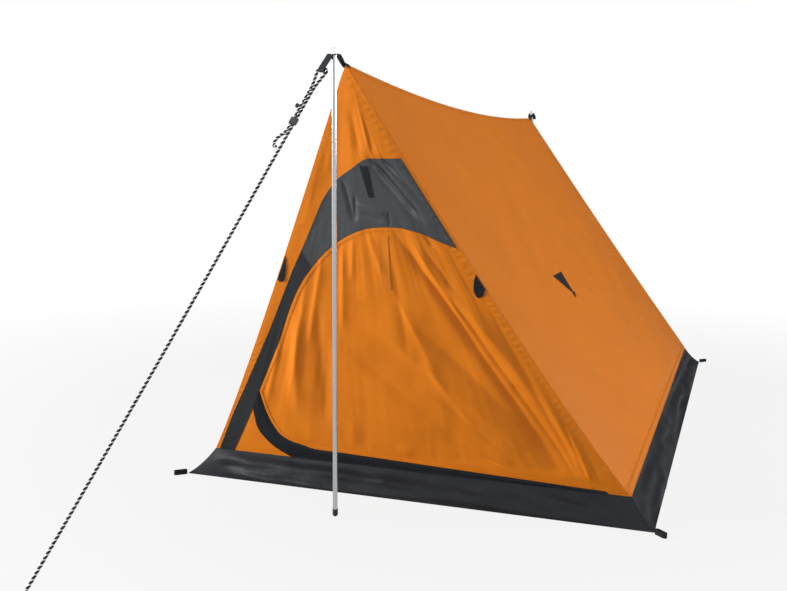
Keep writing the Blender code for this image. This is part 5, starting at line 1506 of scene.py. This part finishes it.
def guyline_route():
    """The cord's way from the strap eye down to the ground knot, and the short side with its bight."""
    place, apex = pole_places()["front"]
    _, eye = strap_line(place, apex)
    eye = from_frame(place, eye[0], 0.0, eye[1])
    down = unit(GUY_GROUND - eye)
    across = unit(place[2] - np.dot(place[2], down) * down)

    def at(distance, sideways):
        return eye + down * distance + across * sideways

    edge = STRAP_WIDTH / 2 + FIT
    bend = 0.0045
    turn = [at(bend * (1 - math.cos(a)), edge + bend * math.sin(a)) for a in np.arange(7) * math.pi / 12]
    keys = ((0.022, (edge + bend + CORD_SPREAD) / 2), (0.040, CORD_SPREAD + 0.0008), (0.050, CORD_SPREAD))
    run = smooth_path([turn[-1]] + [at(*key) for key in keys], [3, 2, 1])
    half = np.array([at(0.0, 0.0), at(0.0, edge / 2)] + turn + list(run[1:]) + [at(0.140, CORD_SPREAD)])
    mirrored = half - across * 2 * ((half - eye) @ across)[:, None]
    start = at(0.1403, CORD_SPREAD)
    end = GUY_GROUND + unit(start - GUY_GROUND) * 0.0068
    line = smooth_path([start + down * 0.004, lerp(start, end, 0.5) - 0.004 * UP, end], [28, 28])
    keys = ((0.1443, CORD_SPREAD), *BIGHT)
    tail = smooth_path([at(far, -aside) for far, aside in keys], [4, 4, 5, 5, 4])
    long_side = np.concatenate([half, start[None], line])
    short_side = np.concatenate([mirrored, at(0.1403, -CORD_SPREAD)[None], tail])
    return long_side, short_side, at, down


def build_guyline():
    """Both sides of the guyline, its knots and its peg eye."""
    long_side, short_side, at, down = guyline_route()
    main = make_cord("guyline_rope", long_side, ["guyline", "guyline_head_loop"])
    short = make_cord("guyline_bight", short_side, ["guyline_tail"])
    place = GUY_GROUND + 0.001 * UP
    knot = make_knot("guyline_ground_knot", place, down, *GROUND_KNOT, "guyline_end_knot")
    place = at(STOP_KNOT_PLACE, -(CORD_SPREAD + CORD_RADIUS + 0.0052))
    bead = make_knot("guyline_stop_knot", place, down, *STOP_KNOT, "guyline_bead")
    outwards = unit(down * np.array([1, 1, 0]))
    beside = np.array([-outwards[1], outwards[0], 0.0])
    length, width = PEG_EYE
    middle = GUY_GROUND * np.array([1, 1, 0]) + 0.0037 * UP
    middle = middle + outwards * (GUY_GROUND[2] + SLACK + CORD_RADIUS + length)
    angle = np.linspace(0, 2 * np.pi, 73)
    ring = middle + np.outer(np.cos(angle), outwards) * length + np.outer(np.sin(angle), beside) * width
    loop = make_cord("guyline_peg_eye", ring, ["guyline_end_loop"], closed=True)


# Poles and fittings


def dress_hardware():
    """Finishes of the poles, eyelets, rings, slider and runner, whose shapes the frame already has."""
    finishes = {
        "pole_lower": "pole_aluminium",
        "pole_middle": "pole_aluminium",
        "pole_upper": "pole_aluminium",
        "pole_spigot": "pole_aluminium",
        "pole_tip": "bright_steel",
        "pole_foot": "rubber_black",
        "eyelet": "bright_steel",
        "zip_slider": "bright_steel",
        "zip_pull": "bright_steel",
        "side_ring": "plastic_black",
        "guyline_runner": "plastic_black",
    }
    for name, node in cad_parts.items():
        for words, finish in finishes.items():
            if words in name:
                for place in node.material_slots:
                    place.material = finish_of(finish)


# Stage


def build_camera():
    """Camera of the photograph. Returns the direction in which it looks."""
    yaw, pitch, roll = (math.radians(turn) for turn in (CAMERA_YAW, CAMERA_PITCH, CAMERA_ROLL))
    level = math.cos(pitch)
    ahead = Vector((-math.sin(yaw) * level, math.cos(yaw) * level, -math.sin(pitch)))
    right = Vector((math.cos(yaw), math.sin(yaw), 0.0))
    above = right.cross(ahead)
    turned_right = right * math.cos(roll) + above * math.sin(roll)
    turned_above = above * math.cos(roll) - right * math.sin(roll)
    turn = Matrix((turned_right, turned_above, -ahead)).transposed().to_4x4()
    data = bpy.data.cameras.new("photo_camera")
    data.lens = SENSOR_WIDTH * LENS_PIXELS / PHOTO_WIDTH
    data.sensor_width = SENSOR_WIDTH
    data.clip_end = 60.0
    camera = bpy.data.objects.new("photo_camera", data)
    camera.matrix_world = Matrix.Translation(Vector(CAMERA_PLACE) + Vector(ORIGIN)) @ turn
    bpy.context.scene.collection.objects.link(camera)
    bpy.context.scene.camera = camera
    return ahead


def empty_tree(owner):
    owner.use_nodes = True
    owner.node_tree.nodes.clear()
    return owner.node_tree


def mix_shaders(tree, factor, first, second, output):
    """Two shaders mixed by a factor, on an output node."""
    mix = add_node(tree, "ShaderNodeMixShader")
    for socket, value in zip(mix.inputs, (factor, first.outputs[0], second.outputs[0])):
        tree.links.new(value, socket)
    add_node(tree, output, Surface=mix.outputs[0])


def build_air(ahead):
    """Even room light, and a white room in what the camera and the reflections see."""
    world = bpy.data.worlds.new("studio_air")
    bpy.context.scene.world = world
    tree = empty_tree(world)
    rays = add_node(tree, "ShaderNodeLightPath").outputs
    seen = calculate(tree, "MAXIMUM", rays["Is Camera Ray"], rays["Is Glossy Ray"])
    seen = calculate(tree, "MAXIMUM", seen, rays["Is Transmission Ray"])
    facing = add_node(tree, "ShaderNodeVectorMath", {"operation": "DOT_PRODUCT"})
    feed(tree, facing.inputs[0], place_on(tree, "Generated"))
    feed(tree, facing.inputs[1], ahead)
    ends = {"From_Min": -0.25, "From_Max": 0.35, "To_Min": 1.0, "To_Max": 0.12}
    behind = add_node(tree, "ShaderNodeMapRange", Value=facing.outputs["Value"], **ends)
    strength = calculate(tree, "MAXIMUM", behind.outputs[0], rays["Is Camera Ray"])
    air = bpy.context.scene.tent_stage.air
    dim = add_node(tree, "ShaderNodeBackground", Color=WHITE, Strength=air)
    bright = add_node(tree, "ShaderNodeBackground", Color=WHITE, Strength=strength)
    mix_shaders(tree, seen, dim, bright, "ShaderNodeOutputWorld")


def build_lamp(name, place, size, power):
    """Square soft light that is turned to the tent."""
    lamp = bpy.data.lights.new(name, "AREA")
    lamp.shape = "SQUARE"
    lamp.size = size
    lamp.energy = power
    holder = bpy.data.objects.new(name, lamp)
    aim = (Vector(TENT_MIDDLE) - Vector(place)).to_track_quat("-Z", "Y")
    holder.matrix_world = Matrix.Translation(place) @ aim.to_matrix().to_4x4()
    bpy.context.scene.collection.objects.link(holder)


def build_paper():
    """Pale paper floor that keeps the tent's shadow and fades to white around it."""
    mesh = bpy.data.meshes.new("studio_floor")
    quarters = ((-1, -1), (1, -1), (1, 1), (-1, 1))
    corners = [(x * PAPER_REACH, y * PAPER_REACH, PAPER_HEIGHT) for x, y in quarters]
    mesh.from_pydata(corners, [], [(0, 1, 2, 3)])
    look = bpy.data.materials.new("studio_floor_paper")
    mesh.materials.append(look)
    tree = empty_tree(look)
    rays = add_node(tree, "ShaderNodeLightPath").outputs
    seen = calculate(tree, "MAXIMUM", rays["Is Camera Ray"], rays["Is Glossy Ray"])
    paper = add_node(tree, "ShaderNodeBsdfDiffuse", Color=PAPER_GREY)
    dimmed = calculate(tree, "MULTIPLY_ADD", rays["Is Glossy Ray"], -0.5, 1.0)
    glow = add_node(tree, "ShaderNodeEmission", Color=WHITE, Strength=dimmed)
    far = add_node(tree, "ShaderNodeVectorMath", {"operation": "LENGTH"})
    feed(tree, far.inputs[0], place_on(tree, "Object"))
    ends = {"From_Min": 1.3, "From_Max": 3.2, "To_Min": bpy.context.scene.tent_stage.floor_glow}
    share = add_node(tree, "ShaderNodeMapRange", Value=far.outputs["Value"], **ends)
    factor = calculate(tree, "MULTIPLY", seen, share.outputs[0])
    mix_shaders(tree, factor, paper, glow, "ShaderNodeOutputMaterial")
    floor = bpy.data.objects.new("studio_floor", mesh)
    bpy.context.scene.collection.objects.link(floor)


def build_stage():
    """Pale floor, soft studio light and the photograph's camera."""
    settings = bpy.context.scene.tent_stage
    bpy.context.scene.view_settings.view_transform = "Standard"
    build_air(build_camera())
    build_lamp("key_softbox", (-3.6, -2.6, 1.4), 1.4, settings.key)
    build_lamp("front_softbox", (1.4, -3.9, 1.3), 1.6, settings.front)
    build_lamp("fill_softbox", (3.0, -0.1, 1.2), 1.8, settings.fill)
    build_lamp("back_softbox", (-1.9, 4.6, 1.4), 1.8, settings.back)
    build_lamp("top_softbox", (-0.6, 0.2, 4.4), 3.0, settings.top)
    build_paper()


# Settings, operators and panel


def colour_setting(label, words, value):
    sizes = {"size": 3, "subtype": "COLOR", "min": 0.0, "max": 1.0}
    return FloatVectorProperty(name=label, description=words, default=value, **sizes)


def number_setting(label, words, value, low, high, unit="NONE"):
    return FloatProperty(name=label, description=words, default=value, min=low, max=high, unit=unit)


def light_setting(label, words, value):
    return number_setting(label, words, value, 0.0, 2000.0, "POWER")


class TentClothSettings(bpy.types.PropertyGroup):
    """Cloth of the canopy, skirt and floor."""

    thickness: number_setting(
        "Cloth thickness", "Thickness of the coated nylon", 0.0008, 0.0002, 0.003, "LENGTH"
    )
    fold_strength: number_setting(
        "Fold strength", "Depth of folds and puckers, as a share of the usual", 1.6, 0.0, 3.0
    )
    stitch_pitch: number_setting("Stitch pitch", "Distance between stitches", 0.0045, 0.002, 0.02, "LENGTH")
    orange: colour_setting("Orange", "Colour of the canopy cloth", (0.66, 0.180, 0.006))
    black: colour_setting("Black", "Colour of the arch panel, skirt and floor", (0.013, 0.015, 0.018))
    arch: colour_setting("Arch", "Colour of the arch panel's upper part", (0.050, 0.056, 0.060))
    tape: colour_setting("Tape", "Colour of the tape sewn on the door", (0.69, 0.200, 0.012))
    thread: colour_setting("Thread", "Colour of the thread on orange cloth", (0.62, 0.20, 0.02))
    black_thread: colour_setting("Dark thread", "Colour of the thread on black cloth", (0.05, 0.05, 0.055))


class TentFittingSettings(bpy.types.PropertyGroup):
    """Webbing, poles and small fittings."""

    webbing: colour_setting("Webbing", "Colour of straps, loops and patches", (0.010, 0.012, 0.014))
    aluminium: colour_setting("Aluminium", "Colour of the pole tubes", (0.88, 0.89, 0.91))
    steel: colour_setting("Steel", "Colour of eyelets, pole tips and the zip slider", (0.72, 0.72, 0.73))
    plastic: colour_setting("Plastic", "Colour of rings, runner and pole feet", (0.016, 0.016, 0.018))


class TentGuylineSettings(bpy.types.PropertyGroup):
    """The laid guyline."""

    pitch: number_setting(
        "Lay length", "Length of one full turn of the strands", 0.0105, 0.004, 0.05, "LENGTH"
    )
    dark: colour_setting("Dark strand", "Colour of the dark strand", (0.004, 0.004, 0.005))
    pale: colour_setting("Pale strand", "Colour of the pale strand", (0.86, 0.86, 0.85))


class TentStageSettings(bpy.types.PropertyGroup):
    """Studio light."""

    key: light_setting("Key light", "Power of the large light at the left", 290.0)
    front: light_setting("Front light", "Power of the light beside the camera", 30.0)
    fill: light_setting("Fill light", "Power of the light at the right", 62.0)
    back: light_setting("Back light", "Power of the light behind the tent", 90.0)
    top: light_setting("Top light", "Power of the light overhead", 60.0)
    air: number_setting("Room light", "Strength of the even light from all round", 0.19, 0.0, 2.0)
    floor_glow: number_setting(
        "Floor glow", "Share of plain white in the floor as the camera sees it", 0.86, 0.0, 1.0
    )


class TentOperator:
    """Shared settings of the tent's operators."""

    bl_options = {"REGISTER", "UNDO"}


class TENT_OT_stage(TentOperator, bpy.types.Operator):
    """Set up the floor, the studio light and the camera"""

    bl_idname = "tent.stage"
    bl_label = "Stage"

    def execute(self, context):
        build_stage()
        return {"FINISHED"}


class TENT_OT_guyline(TentOperator, bpy.types.Operator):
    """Lay the guyline with its knots and peg eye"""

    bl_idname = "tent.guyline"
    bl_label = "Guyline"

    def execute(self, context):
        build_guyline()
        return {"FINISHED"}


class TENT_OT_roof(TentOperator, bpy.types.Operator):
    """Stretch the two roof panels with their lower hems"""

    bl_idname = "tent.roof"
    bl_label = "Roof Panels"

    def execute(self, context):
        build_roofs()
        return {"FINISHED"}


class TENT_OT_front(TentOperator, bpy.types.Operator):
    """Stretch the front wall, its black arch and the zip flap"""

    bl_idname = "tent.front"
    bl_label = "Front Wall"

    def execute(self, context):
        build_front_wall()
        build_black_front()
        return {"FINISHED"}


class TENT_OT_door(TentOperator, bpy.types.Operator):
    """Hang the door cloth with its hem"""

    bl_idname = "tent.door"
    bl_label = "Door"

    def execute(self, context):
        build_door()
        return {"FINISHED"}


class TENT_OT_rear(TentOperator, bpy.types.Operator):
    """Stretch the rear wall, the skirts and the floor"""

    bl_idname = "tent.rear"
    bl_label = "Rear Wall, Skirts and Floor"

    def execute(self, context):
        build_rear_wall()
        build_skirts()
        build_floor()
        return {"FINISHED"}


class TENT_OT_seams(TentOperator, bpy.types.Operator):
    """Sew the lap seams and all rows of stitches"""

    bl_idname = "tent.seams"
    bl_label = "Seams and Stitches"

    def execute(self, context):
        build_seams()
        build_stitches()
        return {"FINISHED"}


class TENT_OT_zip(TentOperator, bpy.types.Operator):
    """Sew in both halves of the door zip"""

    bl_idname = "tent.zip"
    bl_label = "Zip"

    def execute(self, context):
        build_zip()
        return {"FINISHED"}


class TENT_OT_webbing(TentOperator, bpy.types.Operator):
    """Sew on the straps, loops, tapes and patches"""

    bl_idname = "tent.webbing"
    bl_label = "Webbing and Patches"

    def execute(self, context):
        build_straps()
        build_corner_loops()
        build_side_patches()
        build_front_tapes()
        build_ridge_tape()
        return {"FINISHED"}


class TENT_OT_hardware(TentOperator, bpy.types.Operator):
    """Finish the poles, eyelets, rings, slider and runner"""

    bl_idname = "tent.hardware"
    bl_label = "Poles and Fittings"

    def execute(self, context):
        dress_hardware()
        return {"FINISHED"}


class TENT_PT_panel(bpy.types.Panel):
    """Tent builder in the sidebar of the 3D view"""

    bl_idname = "TENT_PT_panel"
    bl_label = "Mountaineering Tent"
    bl_space_type = "VIEW_3D"
    bl_region_type = "UI"
    bl_category = "Tent"

    def draw(self, context):
        for name, group in SETTINGS.items():
            box = self.layout.box()
            for key in group.__annotations__:
                box.prop(getattr(context.scene, name), key)
        for operator in OPERATORS:
            self.layout.operator(operator.bl_idname)


OPERATORS = (
    TENT_OT_stage,
    TENT_OT_guyline,
    TENT_OT_roof,
    TENT_OT_front,
    TENT_OT_door,
    TENT_OT_rear,
    TENT_OT_seams,
    TENT_OT_zip,
    TENT_OT_webbing,
    TENT_OT_hardware,
)
SETTINGS = {
    "tent_cloth": TentClothSettings,
    "tent_fittings": TentFittingSettings,
    "tent_guyline": TentGuylineSettings,
    "tent_stage": TentStageSettings,
}


def register():
    for name, group in SETTINGS.items():
        bpy.utils.register_class(group)
        setattr(bpy.types.Scene, name, PointerProperty(type=group))
    for operator in OPERATORS:
        bpy.utils.register_class(operator)
    bpy.utils.register_class(TENT_PT_panel)


def unregister():
    bpy.utils.unregister_class(TENT_PT_panel)
    for operator in reversed(OPERATORS):
        bpy.utils.unregister_class(operator)
    for name, group in SETTINGS.items():
        delattr(bpy.types.Scene, name)
        bpy.utils.unregister_class(group)


def main():
    register()
    for operator in OPERATORS:
        group, name = operator.bl_idname.split(".")
        getattr(getattr(bpy.ops, group), name)()
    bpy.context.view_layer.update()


if __name__ == "__main__":
    main()
